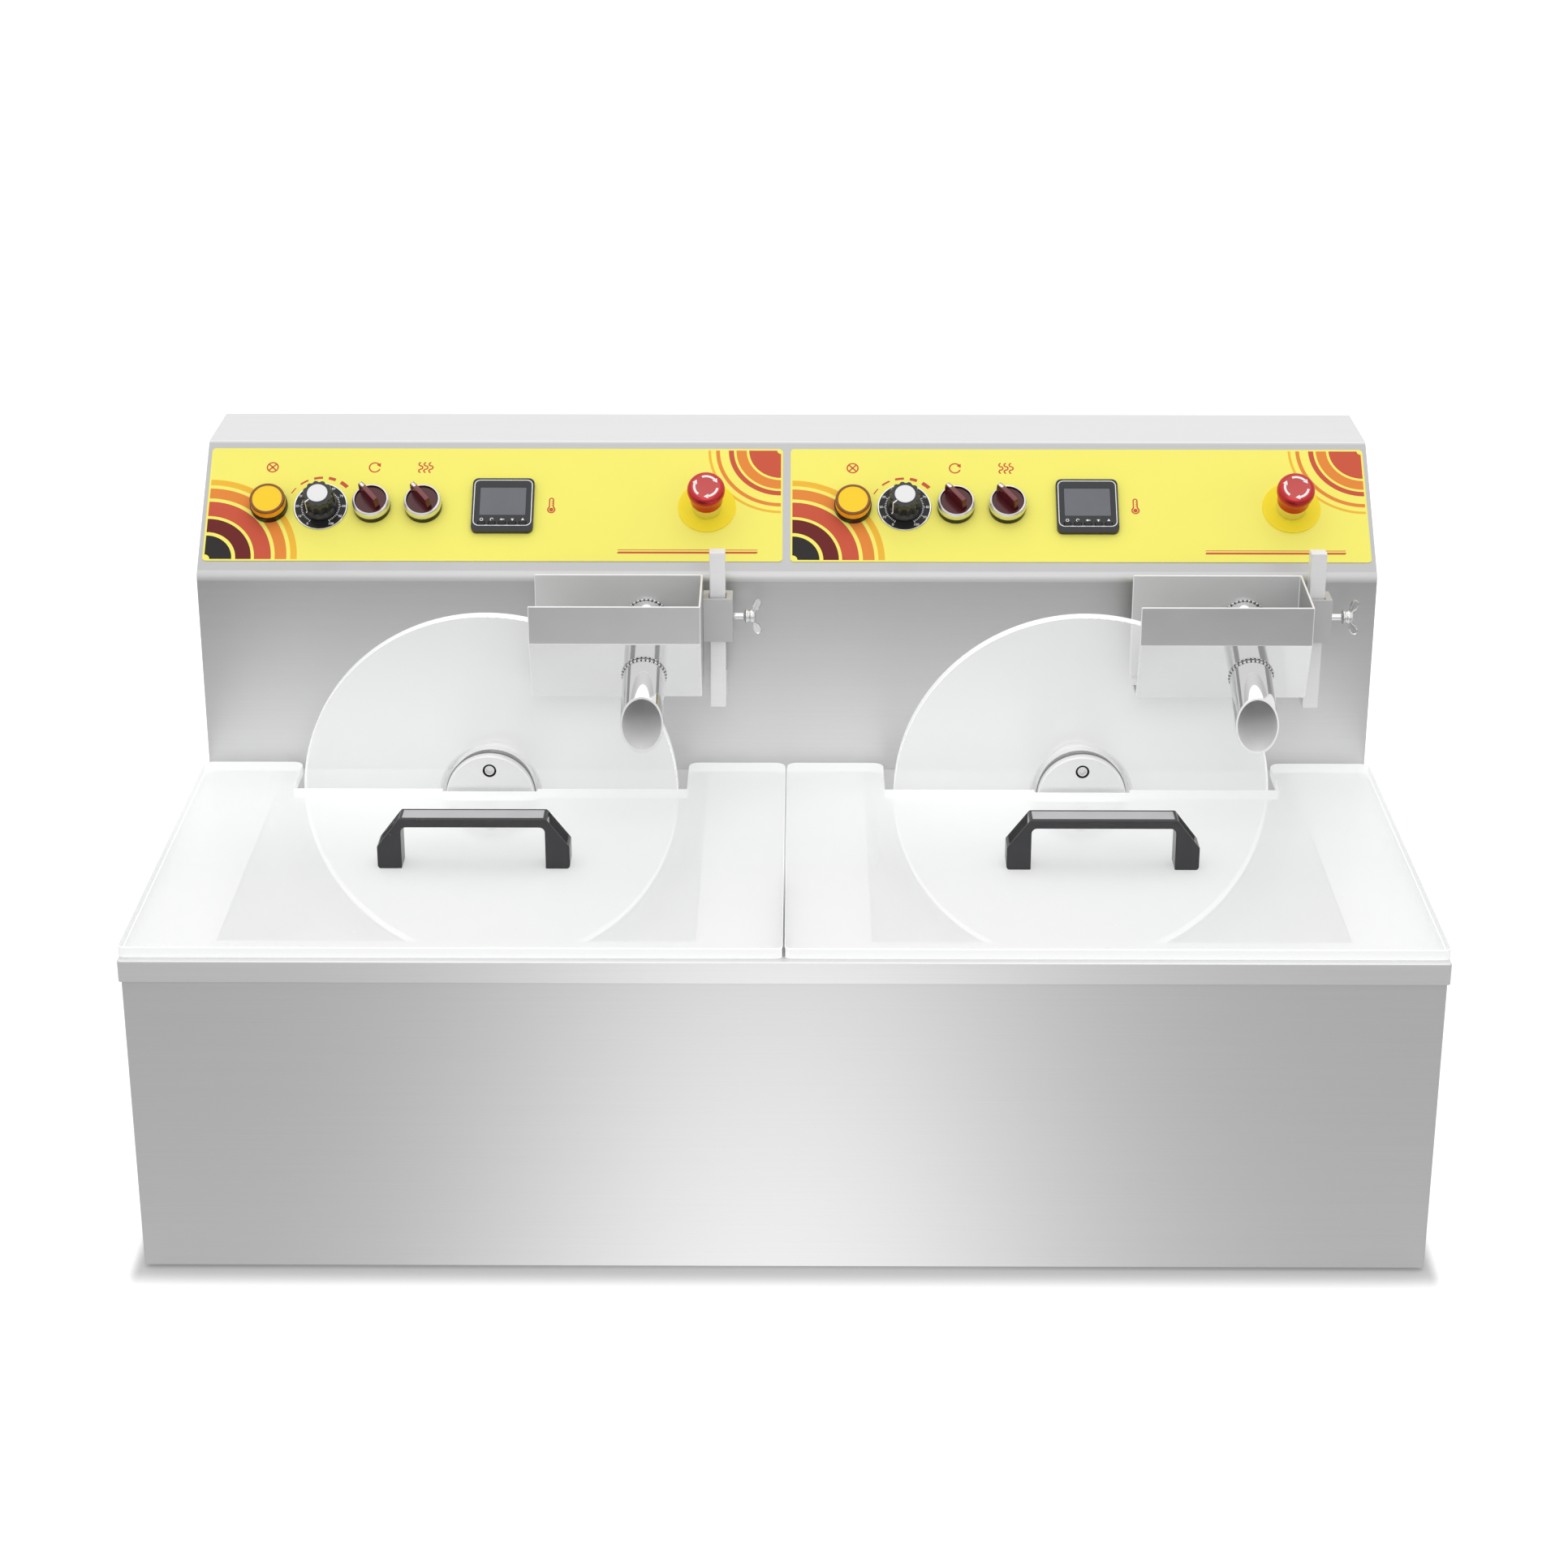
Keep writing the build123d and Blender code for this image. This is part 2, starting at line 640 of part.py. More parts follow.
# Scraper box, spout and clamp: welded together, they slide on the post
spout_run = box_back - sheet - spout_mouth_y
spout_mouth_z = spout_root_z - spout_run * tan(spout_drop)
spout_length = hypot(spout_run, spout_root_z - spout_mouth_z)
for side, unit_x in units.items():
    spout_root = (unit_x + spout_x, box_back - sheet, spout_root_z)
    spout_plane = Plane(origin=spout_root, x_dir=(1, 0, 0), z_dir=(0, -cos(spout_drop), -sin(spout_drop)))
    mouth_plane = Plane(
        origin=(unit_x + spout_x, spout_mouth_y, spout_mouth_z),
        x_dir=(1, 0, 0),
        z_dir=(0, -cos(mouth_lean), sin(mouth_lean)),
    )

    with BuildPart() as scraper_box:
        with BuildSketch(Plane.YZ.offset(unit_x + box_left)):
            with BuildLine():
                Polyline(
                    (box_front, box_front_top),
                    (box_front, box_fold_z),
                    (box_front + box_setback, box_bottom),
                    (box_back, box_bottom),
                    (box_back, box_back_top),
                    close=True,
                )
            make_face()
        extrude(amount=box_right - box_left)
        open_top = scraper_box.faces().sort_by(Axis.Z)[-1]
        open_end = scraper_box.faces().sort_by(Axis.X)[0]
        offset(openings=[open_top, open_end], amount=-sheet)
        with BuildSketch(Plane.XY.offset(box_bottom)):
            with Locations((unit_x + (box_left + box_right - sheet) / 2, (wheel_front + wheel_back) / 2)):
                Rectangle(box_right - box_left - sheet, wheel_thickness + 2 * box_wheel_gap)
        extrude(amount=sheet, mode=Mode.SUBTRACT)
        with BuildSketch(spout_plane.offset(spout_radius)):
            Circle(spout_radius + spout_fit)
        extrude(amount=spout_length, mode=Mode.SUBTRACT)
    save(scraper_box, f"{side}_scraper_box")

    with BuildPart() as scraper_spout:
        with BuildSketch(spout_plane.offset(-spout_radius)):
            Circle(spout_radius)
            Circle(spout_radius - spout_wall, mode=Mode.SUBTRACT)
        extrude(amount=spout_length + 4 * spout_radius)
        split(bisect_by=upright(box_back - sheet), keep=Keep.TOP)
        split(bisect_by=mouth_plane, keep=Keep.BOTTOM)
        with BuildSketch(Plane.XY.offset(box_bottom)):
            with Locations((unit_x + spout_x - spout_radius, (inlet_window_front + inlet_window_back) / 2)):
                Rectangle(2 * spout_radius, inlet_window_back - inlet_window_front)
        extrude(amount=box_back_top - box_bottom, mode=Mode.SUBTRACT)
    save(scraper_spout, f"{side}_scraper_spout")

    post_left = unit_x + post_x - post_size / 2
    clamp_mid_z = clamp_bottom + clamp_height / 2
    post_mid_y = post_front + post_size / 2
    with BuildPart() as clamp_block:
        with BuildSketch(Plane.XY.offset(clamp_bottom)):
            with Locations((unit_x + box_right, clamp_front)):
                Rectangle(clamp_right - box_right, clamp_depth, align=(Align.MIN, Align.MIN))
            with Locations((post_left - clamp_slack, post_front - clamp_front_slack)):
                Rectangle(
                    post_size + 2 * clamp_slack,
                    post_size + clamp_slack + clamp_front_slack,
                    align=(Align.MIN, Align.MIN),
                    mode=Mode.SUBTRACT,
                )
        extrude(amount=clamp_height)
        with BuildSketch(Plane.YZ.offset(unit_x + clamp_right)):
            with Locations((post_mid_y, clamp_mid_z)):
                Circle(screw_radius + screw_clearance)
        extrude(amount=-(clamp_right - post_x), mode=Mode.SUBTRACT)
    save(clamp_block, f"{side}_clamp_block")

    screw_start = unit_x + post_x + post_size / 2 + screw_tip_gap
    hub_start = unit_x + screw_hub_start
    hub_mid = hub_start + screw_hub_length / 2
    wing_tip_x = hub_start + screw_hub_length + wing_reach - wing_radius
    with BuildPart() as wing_screw:
        with BuildSketch(Plane.YZ.offset(screw_start)):
            with Locations((post_mid_y, clamp_mid_z)):
                Circle(screw_radius)
        extrude(amount=hub_start - screw_start)
        with BuildSketch(Plane.YZ.offset(hub_start)):
            with Locations((post_mid_y, clamp_mid_z)):
                Circle(screw_hub_radius)
        extrude(amount=screw_hub_length)
        with BuildSketch(upright(post_mid_y)):
            for way in (1, -1):
                tip = (wing_tip_x, clamp_mid_z + way * (wing_span / 2 - wing_radius))
                with BuildLine():
                    Polyline(
                        (hub_mid - wing_root, clamp_mid_z),
                        (tip[0] - wing_radius, tip[1]),
                        (tip[0] + wing_radius, tip[1]),
                        (hub_mid + wing_root, clamp_mid_z),
                        close=True,
                    )
                make_face()
                with Locations(tip):
                    Circle(wing_radius)
        extrude(amount=wing_thickness / 2, both=True)
    save(wing_screw, f"{side}_wing_screw")

# Lids with a notch for the wheel and a smaller one for its hub, and handles with a screw well in each leg
lid_width = lid_outer - lid_inner
lid_centre = (lid_outer + lid_inner) / 2
for side, unit_x in units.items():
    lid_x = lid_centre if unit_x > 0 else -lid_centre
    with BuildPart() as lid:
        with BuildSketch(Plane.XY.offset(lid_rest)) as lid_outline:
            with Locations((lid_x, (lid_front + lid_back) / 2)):
                Rectangle(lid_width, lid_back - lid_front)
            with Locations((unit_x, (notch_front + lid_back) / 2)):
                Rectangle(notch_width, lid_back - notch_front, mode=Mode.SUBTRACT)
            fillet(lid_outline.vertices().group_by(Axis.Y)[0], lid_corner)
            fillet(lid_outline.vertices().group_by(Axis.Y)[-1], notch_corner)
            with Locations((unit_x, notch_front - hub_notch_depth / 2)):
                Rectangle(hub_notch_width, hub_notch_depth, mode=Mode.SUBTRACT)
        extrude(amount=lid_thickness)
        fillet(lid.faces().sort_by(Axis.Z)[-1].outer_wire().edges(), lid_edge)
    save(lid, f"{side}_lid")

    lid_top = lid_rest + lid_thickness
    handle_x = unit_x + handle_shift
    with BuildPart() as lid_handle:
        with BuildSketch(upright(handle_front)) as handle_outline:
            with BuildLine():
                Polyline(
                    (handle_x - handle_length / 2, lid_top),
                    (handle_x - handle_length / 2, lid_top + handle_shoulder),
                    (handle_x - handle_top_length / 2, lid_top + handle_height),
                    (handle_x + handle_top_length / 2, lid_top + handle_height),
                    (handle_x + handle_length / 2, lid_top + handle_shoulder),
                    (handle_x + handle_length / 2, lid_top),
                    close=True,
                )
            make_face()
            with Locations((handle_x, lid_top)):
                Rectangle(
                    handle_length - 2 * handle_leg,
                    handle_height - handle_bar,
                    align=(Align.CENTER, Align.MIN),
                    mode=Mode.SUBTRACT,
                )
            inner_top = lid_top + handle_height - handle_bar
            fillet(
                handle_outline.vertices().filter_by_position(Axis.Y, inner_top - fit, inner_top + fit),
                handle_inner_corner,
            )
            feet_corners = handle_outline.vertices().group_by(Axis.Y)[0].sort_by(Axis.X)
            fillet([feet_corners[0], feet_corners[-1]], handle_foot_corner)
        extrude(amount=-handle_depth)
        top_edges = lid_handle.edges().filter_by(Axis.X).group_by(Axis.Z)[-1]
        fillet(top_edges, handle_edge)
        well_reach = (handle_length - handle_leg) / 2
        well_y = handle_front + handle_depth / 2
        with BuildSketch(Plane.XY.offset(lid_top + handle_well_floor)):
            with Locations((handle_x - well_reach, well_y), (handle_x + well_reach, well_y)):
                Rectangle(handle_leg - 2 * handle_wall, handle_depth - 2 * handle_wall)
        extrude(amount=handle_height, mode=Mode.SUBTRACT)
    save(lid_handle, f"{side}_lid_handle")

# Printed overlays on the slope, and the yellow disc under each stop button
with BuildPart() as control_overlays:
    with BuildSketch(panel):
        for unit_x in units.values():
            with Locations((unit_x, overlay_rise)):
                RectangleRounded(overlay_width, overlay_height, overlay_corner)
            with Locations(*[(unit_x + x, 0) for x in (pilot_x, motor_switch_x, heat_switch_x, stop_x)]):
                Circle(panel_hole_radius, mode=Mode.SUBTRACT)
            with Locations((unit_x + speed_x, 0)):
                Circle(dial_hole_radius, mode=Mode.SUBTRACT)
            with Locations((unit_x + controller_x, 0)):
                Rectangle(case_cutout, case_cutout, mode=Mode.SUBTRACT)
    extrude(amount=overlay_thickness)
    with BuildSketch(panel.offset(face + disc_gap)):
        with Locations(*[(x + stop_x, 0) for x in units.values()]):
            Circle(stop_disc_radius)
            Circle(panel_hole_radius, mode=Mode.SUBTRACT)
    extrude(amount=stop_disc_thickness)
save(control_overlays, "control_overlays")

# Black collars of the pilot lights and selectors, and the speed dials with their potentiometers
with BuildPart() as panel_collars:
    collar_places = [(u + x, 0) for u in units.values() for x in (pilot_x, motor_switch_x, heat_switch_x)]
    with BuildSketch(panel.offset(face)):
        with Locations(*collar_places):
            Circle(collar_outer)
    extrude(amount=collar_height)
    with BuildSketch(panel.offset(face)):
        with Locations(*collar_places):
            Circle(spigot_radius)
    extrude(amount=-spigot_depth)
    with BuildSketch(panel.offset(face + collar_height)):
        with Locations(*[(u + x, 0) for u in units.values() for x in (motor_switch_x, heat_switch_x)]):
            Circle(selector_stem_radius + stem_clearance)
    extrude(amount=-selector_bore_depth, mode=Mode.SUBTRACT)
    dial_places = [(x + speed_x, 0) for x in units.values()]
    with BuildSketch(panel.offset(face)):
        with Locations(*dial_places):
            Circle(dial_radius)
    extrude(amount=dial_thickness)
    with BuildSketch(panel.offset(face)):
        with Locations(*dial_places):
            Circle(pot_bush_radius)
    extrude(amount=-(face + sheet))
    with BuildSketch(panel.offset(-sheet)):
        with Locations(*dial_places):
            Circle(pot_radius)
    extrude(amount=-pot_length)
    with BuildSketch(panel.offset(face + dial_thickness)):
        with Locations(*dial_places):
            Circle(knob_stem_radius + stem_clearance)
    extrude(amount=-pot_bore_depth, mode=Mode.SUBTRACT)
save(panel_collars, "panel_collars")

# Amber pilot lenses
with BuildPart() as pilot_lenses:
    with BuildSketch(panel.offset(face + collar_height)):
        with Locations(*[(x + pilot_x, 0) for x in units.values()]):
            Circle(lens_radius)
    extrude(amount=lens_height)
    outer_faces = pilot_lenses.faces().filter_by(panel).group_by(Axis(panel.origin, panel.z_dir))[-1]
    fillet(outer_faces.edges(), lens_edge)
save(pilot_lenses, "pilot_lenses")

# Bright bezels round the selectors
with BuildPart() as switch_bezels:
    with BuildSketch(panel.offset(face + collar_height)):
        with Locations(*[(u + x, 0) for u in units.values() for x in (motor_switch_x, heat_switch_x)]):
            Circle(collar_outer)
            Circle(bezel_inner, mode=Mode.SUBTRACT)
    extrude(amount=bezel_height)
save(switch_bezels, "switch_bezels")

# Temperature controllers: bezel with a sunk screen, body behind the panel, and one pocket for each key
key_places = [((i - (key_count - 1) / 2) * key_pitch, key_row) for i in range(key_count)]
key_bottom = face + case_bezel + key_proud - key_length
key_floor = key_bottom - key_travel - key_gap
with BuildPart() as controller_cases:
    for unit_x in units.values():
        with BuildSketch(on_panel(unit_x + controller_x, face)):
            RectangleRounded(case_size, case_size, case_corner)
        extrude(amount=case_bezel)
        with BuildSketch(on_panel(unit_x + controller_x, face)):
            Rectangle(case_body, case_body)
        extrude(amount=-case_depth)
        with BuildSketch(on_panel(unit_x + controller_x, key_floor)):
            with Locations(*key_places):
                Rectangle(key_width + 2 * key_gap, key_height + 2 * key_gap)
        extrude(amount=2 * case_bezel, mode=Mode.SUBTRACT)
        with BuildSketch(on_panel(unit_x + controller_x, face + case_bezel)):
            with Locations((0, screen_rise)):
                Rectangle(screen_width, screen_height)
        extrude(amount=-screen_depth, mode=Mode.SUBTRACT)
save(controller_cases, "controller_cases")

for side, unit_x in units.items():
    for number, (key_x, key_y) in enumerate(key_places, start=1):
        with BuildPart() as controller_key:
            with BuildSketch(on_panel(unit_x + controller_x, key_bottom)):
                with Locations((key_x, key_y)):
                    Rectangle(key_width, key_height)
            extrude(amount=key_length)
        save(controller_key, f"{side}_controller_key_{number}")

# Speed knobs: fluted body on a skirt, with a flat metal cap
for side, unit_x in units.items():
    knob_floor = face + dial_thickness + dial_gap
    with BuildPart() as speed_knob:
        with BuildSketch(on_panel(unit_x + speed_x, knob_floor)):
            Circle(knob_skirt_radius)
        extrude(amount=knob_skirt_height)
        with BuildSketch(on_panel(unit_x + speed_x, knob_floor + knob_skirt_height)):
            Circle(knob_radius)
            with PolarLocations(knob_radius + knob_flute_radius / 2, knob_flutes):
                Circle(knob_flute_radius, mode=Mode.SUBTRACT)
        extrude(amount=knob_height - knob_skirt_height)
        with BuildSketch(on_panel(unit_x + speed_x, knob_floor + knob_height)):
            Circle(knob_cap_radius)
        extrude(amount=knob_cap_height)
        with BuildSketch(on_panel(unit_x + speed_x, knob_floor)):
            Circle(knob_stem_radius)
        extrude(amount=-knob_stem_length)
    save(speed_knob, f"{side}_speed_knob")

# Selector knobs: a disc in the bezel with a raised fin that points up and to the left
selector_bottom = face + collar_height + selector_floor_gap
for side, unit_x in units.items():
    for use, switch_x in (("motor", motor_switch_x), ("heat", heat_switch_x)):
        with BuildPart() as switch_knob:
            with BuildSketch(on_panel(unit_x + switch_x, selector_bottom)):
                Circle(selector_radius)
            extrude(amount=selector_disc)
            with BuildSketch(on_panel(unit_x + switch_x, selector_bottom)):
                Circle(selector_stem_radius)
            extrude(amount=-selector_stem_length)
            with BuildSketch(on_panel(unit_x + switch_x, selector_bottom + selector_disc)):
                with Locations(Location((0, 0), selector_rest_angle)):
                    with Locations((0, -selector_fin_tail)):
                        Rectangle(
                            selector_fin_width,
                            selector_fin_tail + selector_fin_tip,
                            align=(Align.CENTER, Align.MIN),
                        )
            extrude(amount=selector_fin_height)
            fin_face = switch_knob.faces().sort_by(Axis(panel.origin, panel.z_dir))[-1]
            fillet(fin_face.edges(), selector_edge)
        save(switch_knob, f"{side}_{use}_switch_knob")

# Stop buttons: fixed collar, plunger that slides in it, and mushroom head that turns on the plunger
stop_seat = face + disc_gap + stop_disc_thickness
with BuildPart() as stop_collars:
    for unit_x in units.values():
        with BuildSketch(on_panel(unit_x + stop_x, stop_seat)):
            Circle(stop_collar_radius)
        extrude(amount=stop_collar_top - stop_seat)
        with BuildSketch(on_panel(unit_x + stop_x, stop_seat)):
            Circle(spigot_radius)
        extrude(amount=-stop_spigot_depth)
        with BuildSketch(on_panel(unit_x + stop_x, stop_collar_top)):
            Circle(stop_bore_radius)
        extrude(amount=-(stop_collar_top + stop_spigot_depth - 2 * sheet), mode=Mode.SUBTRACT)
save(stop_collars, "stop_collars")

for side, unit_x in units.items():
    with BuildPart() as stop_plunger:
        with BuildSketch(on_panel(unit_x + stop_x, stop_stem_bottom)):
            Circle(stop_stem_radius)
        extrude(amount=stop_head_bottom - stop_head_gap - stop_stem_bottom)
        with BuildSketch(on_panel(unit_x + stop_x, stop_head_bottom - stop_head_gap)):
            Circle(stop_pin_radius)
        extrude(amount=stop_pin_top - stop_head_bottom)
    save(stop_plunger, f"{side}_stop_plunger")

    with BuildPart() as stop_head:
        with BuildSketch(on_panel(unit_x + stop_x, stop_head_bottom)):
            Circle(stop_head_radius)
        extrude(amount=stop_head_top - stop_head_bottom)
        head_top = stop_head.faces().sort_by(Axis(panel.origin, panel.z_dir))[-1]
        fillet(head_top.edges(), stop_head_edge)
        with BuildSketch(on_panel(unit_x + stop_x, stop_skirt_bottom)):
            Circle(stop_skirt_radius)
            Circle(stop_skirt_inner, mode=Mode.SUBTRACT)
        extrude(amount=stop_head_bottom - stop_skirt_bottom)
        with BuildSketch(on_panel(unit_x + stop_x, stop_head_bottom)):
            Circle(stop_pin_bore)
        extrude(amount=stop_pin_top - stop_head_bottom + stop_head_gap, mode=Mode.SUBTRACT)
    save(stop_head, f"{side}_stop_head")
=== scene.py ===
# %% [markdown]
# # A chocolate melting machine with two tanks
# The machine's solids come ready made and already in place, in metres. This lesson keeps the solids
# whose shape is right, models finer pieces over the others, and gives every surface its own finish. The
# left-hand unit is modelled once, and each of its pieces is copied to the right-hand unit.

import json
import math

import bmesh
import bpy
from mathutils import Matrix, Vector

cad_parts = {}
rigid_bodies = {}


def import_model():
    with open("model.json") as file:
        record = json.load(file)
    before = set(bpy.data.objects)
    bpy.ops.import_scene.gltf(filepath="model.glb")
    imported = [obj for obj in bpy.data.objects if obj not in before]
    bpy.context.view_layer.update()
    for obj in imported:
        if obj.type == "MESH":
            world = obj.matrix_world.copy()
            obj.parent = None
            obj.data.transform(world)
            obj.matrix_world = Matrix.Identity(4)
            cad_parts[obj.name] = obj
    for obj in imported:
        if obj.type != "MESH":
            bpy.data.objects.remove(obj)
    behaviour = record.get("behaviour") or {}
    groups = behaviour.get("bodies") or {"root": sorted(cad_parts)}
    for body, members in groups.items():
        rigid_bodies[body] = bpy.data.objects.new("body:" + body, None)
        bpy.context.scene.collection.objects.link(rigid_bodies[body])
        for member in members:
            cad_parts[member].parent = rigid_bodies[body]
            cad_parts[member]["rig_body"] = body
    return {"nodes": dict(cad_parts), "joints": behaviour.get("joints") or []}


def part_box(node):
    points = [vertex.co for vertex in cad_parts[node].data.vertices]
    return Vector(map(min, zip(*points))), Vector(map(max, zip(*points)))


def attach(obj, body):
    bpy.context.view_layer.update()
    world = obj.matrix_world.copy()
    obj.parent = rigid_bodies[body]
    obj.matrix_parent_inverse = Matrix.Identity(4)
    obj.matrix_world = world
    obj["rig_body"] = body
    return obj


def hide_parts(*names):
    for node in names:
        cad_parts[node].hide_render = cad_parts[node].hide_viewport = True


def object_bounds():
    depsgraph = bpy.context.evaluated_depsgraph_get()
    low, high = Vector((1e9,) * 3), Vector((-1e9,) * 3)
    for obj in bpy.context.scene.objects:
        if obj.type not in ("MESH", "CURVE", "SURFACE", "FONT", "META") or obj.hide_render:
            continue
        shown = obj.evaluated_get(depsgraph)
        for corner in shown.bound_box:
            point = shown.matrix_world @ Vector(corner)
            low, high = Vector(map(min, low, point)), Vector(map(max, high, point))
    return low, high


mm = 0.001
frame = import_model()
cad_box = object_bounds()
joint_named = {joint["name"]: joint for joint in frame["joints"]}
bpy.context.scene.view_settings.view_transform = "Standard"

# %% [markdown]
# The picture looks slightly down on the machine from far off, with a long lens, so upright edges stay
# nearly parallel. A camera can be placed by eye, but here its place and tilt were worked out from the
# machine's corners, so they are plain numbers.

# %% Camera
camera_place = (0.0113, -2.269, 1.1675)
camera_tilt_down = 21.685
camera_turn = 0.317
camera_tilt = (math.radians(90 - camera_tilt_down), 0, math.radians(camera_turn))
bpy.ops.object.camera_add(location=camera_place, rotation=camera_tilt)
camera = bpy.context.object
camera.name = "picture_camera"
camera.data.lens = 74.07
camera.data.sensor_width = 36
bpy.context.scene.camera = camera
print("camera at", tuple(camera.location))

# %% [markdown]
# Light and finishes are both made of nodes. These helpers add a node with its settings, and let a
# socket take a plain value or a link, so that the recipes below read as recipes.

# %% Helpers for nodes


def feed(tree, socket, value):
    """Give a socket a plain value, or a link from another socket."""
    if isinstance(value, bpy.types.NodeSocket):
        tree.links.new(value, socket)
    else:
        socket.default_value = value


def add_node(tree, kind, *values, **settings):
    """A new node. Inputs take the values in their order or by name, and properties are set by name."""
    node = tree.nodes.new("ShaderNode" + kind)
    for name, value in settings.items():
        socket = name.replace("_", " ")
        if socket in node.inputs:
            feed(tree, node.inputs[socket], value)
        else:
            setattr(node, name, value)
    for socket, value in zip(node.inputs, values):
        feed(tree, socket, value)
    return node


def calculate(tree, operation, *values):
    """What a Math node makes of its values."""
    return add_node(tree, "Math", *values, operation=operation).outputs[0]


def ramp(tree, value, start, end, low, high, kind="SMOOTHSTEP"):
    """A value that goes from low to high while another goes from start to end."""
    limits = {"From_Min": start, "From_Max": end, "To_Min": low, "To_Max": high}
    return add_node(tree, "MapRange", value, interpolation_type=kind, **limits).outputs["Result"]


def object_place(tree, scale=(1, 1, 1)):
    """Object coordinates, stretched."""
    place = add_node(tree, "TexCoord").outputs["Object"]
    return add_node(tree, "Mapping", Vector=place, Scale=scale).outputs["Vector"]


def axes_of(tree, vector):
    """The X, Y and Z of a vector."""
    return add_node(tree, "SeparateXYZ", vector).outputs


finish_named = {}


def shader_of(finish):
    """The Principled shader of a material."""
    return finish.node_tree.nodes["Principled BSDF"]


def new_finish(name, colour, roughness, metallic=0.0, **sockets):
    """A material whose Principled shader has these plain values."""
    finish = bpy.data.materials.new(name)
    finish.use_nodes = True
    sockets |= {"Base_Color": (*colour, 1), "Roughness": roughness, "Metallic": metallic}
    for socket, value in sockets.items():
        shader_of(finish).inputs[socket.replace("_", " ")].default_value = value
    finish_named[name] = finish
    return finish


# %% [markdown]
# A product picture has a white room. The world is white for rays that come straight from the camera or
# off metal and glass, and a little dimmer for the rays that light matt surfaces. Light Path tells the
# two apart.

# %% White room
white = (1, 1, 1, 1)
room_light = 0.85
world = bpy.data.worlds.new("white_room")
bpy.context.scene.world = world
world.use_nodes = True
room = world.node_tree
room.nodes.clear()
room_rays = add_node(room, "LightPath").outputs
straight = calculate(room, "MAXIMUM", room_rays["Is Camera Ray"], room_rays["Is Glossy Ray"])
straight = calculate(room, "MAXIMUM", straight, room_rays["Is Transmission Ray"])
dim_room = add_node(room, "Background", white, room_light)
white_room = add_node(room, "Background", white, 1.0)
choose = add_node(room, "MixShader", straight, dim_room.outputs[0], white_room.outputs[0])
add_node(room, "OutputWorld", choose.outputs[0])
print("world lights matt surfaces at", room_light)

# %% [markdown]
# The floor is a large pale plane. Its own glow, seen only by straight rays, lifts it to white, and
# fades out close to the machine: a painted shadow round the footprint, which deepens the real shadow
# that darkens the floor. Metal sees a painted reflection: a bright patch in front of the machine that
# only glossy rays see, fading to both sides, puts the broad band on the front sheet, and a painted glow
# close to the machine, seen only by glossy rays too, lifts the lower part of the sheet.

# %% Floor
floor_size = 14
shadow_reach = 0.034
patch_middle = -0.007
patch_width = 0.23
bpy.ops.object.select_all(action="DESELECT")
bpy.ops.mesh.primitive_plane_add(size=floor_size)
floor = bpy.context.object
floor.name = "pale_floor"
floor_paint = new_finish("pale_floor", (0.4, 0.4, 0.4), 0.9, Emission_Color=white)
ground = floor_paint.node_tree
ground_axes = axes_of(ground, add_node(ground, "TexCoord").outputs["Object"])
along, away = ground_axes["X"], ground_axes["Y"]


def floor_math(operation, *values):
    """What a Math node on the floor makes of its values."""
    return calculate(ground, operation, *values)


def past_edge(value, edge, stretch):
    """How far a coordinate lies outside the machine's own footprint, stretched."""
    outside = floor_math("SUBTRACT", floor_math("ABSOLUTE", value), edge)
    return floor_math("MULTIPLY", floor_math("MAXIMUM", outside, 0.0), stretch)


past_side = past_edge(along, cad_box[1].x, 2.5)
past_front = past_edge(away, cad_box[1].y, 1.0)
front_squared = floor_math("MULTIPLY", past_front, past_front)
past_squared = floor_math("MULTIPLY_ADD", past_side, past_side, front_squared)
# Painted shadow: the glow that lifts the floor to white fades out close to the machine's footprint.
glow_with_painted_shadow = ramp(ground, floor_math("SQRT", past_squared), 0.0, shadow_reach, 0.2, 0.85)
# Painted reflection: a bright patch in front of the machine, seen only by glossy rays.
from_patch = floor_math("DIVIDE", floor_math("SUBTRACT", along, patch_middle), patch_width)
from_patch_squared = floor_math("MULTIPLY", from_patch, from_patch)
patch_across = floor_math("EXPONENT", floor_math("MULTIPLY", from_patch_squared, -1.0))
patch = floor_math("MULTIPLY", patch_across, ramp(ground, away, -1.3, -0.8, 0.0, 1.0))
# Painted reflection: a glow close to the machine, seen only by glossy rays.
painted_near_glow = ramp(ground, away, -0.85, -0.2, 0.0, 0.245)
weaker_patch = floor_math("MULTIPLY", patch, floor_math("MULTIPLY_ADD", painted_near_glow, -0.5, 1.0))
painted_reflection_glow = floor_math("ADD", weaker_patch, painted_near_glow)
floor_rays = add_node(ground, "LightPath").outputs
seen = floor_math("MAXIMUM", floor_rays["Is Camera Ray"], floor_rays["Is Transmission Ray"])
seen_glow = floor_math("MULTIPLY", seen, glow_with_painted_shadow)
mirrored_glow = floor_math("MULTIPLY", floor_rays["Is Glossy Ray"], painted_reflection_glow)
glow = floor_math("ADD", seen_glow, mirrored_glow)
feed(ground, shader_of(floor_paint).inputs["Emission Strength"], glow)
floor.data.materials.append(floor_paint)
print("floor of", floor_size, "m")

# %% [markdown]
# Two softboxes light the machine: a wide one overhead for every face that looks up, and one high above
# the camera for the faces that look forward. Both are soft, and hidden from the camera.

# %% Softboxes


def softbox(name, place, aim, width, height, power):
    """A rectangular area lamp that looks at a point."""
    bpy.ops.object.light_add(type="AREA", location=place)
    lamp = bpy.context.object
    lamp.name = name
    lamp.rotation_euler = (Vector(aim) - Vector(place)).to_track_quat("-Z", "Y").to_euler()
    lamp.data.shape = "RECTANGLE"
    lamp.data.size = width
    lamp.data.size_y = height
    lamp.data.energy = power
    lamp.visible_camera = False


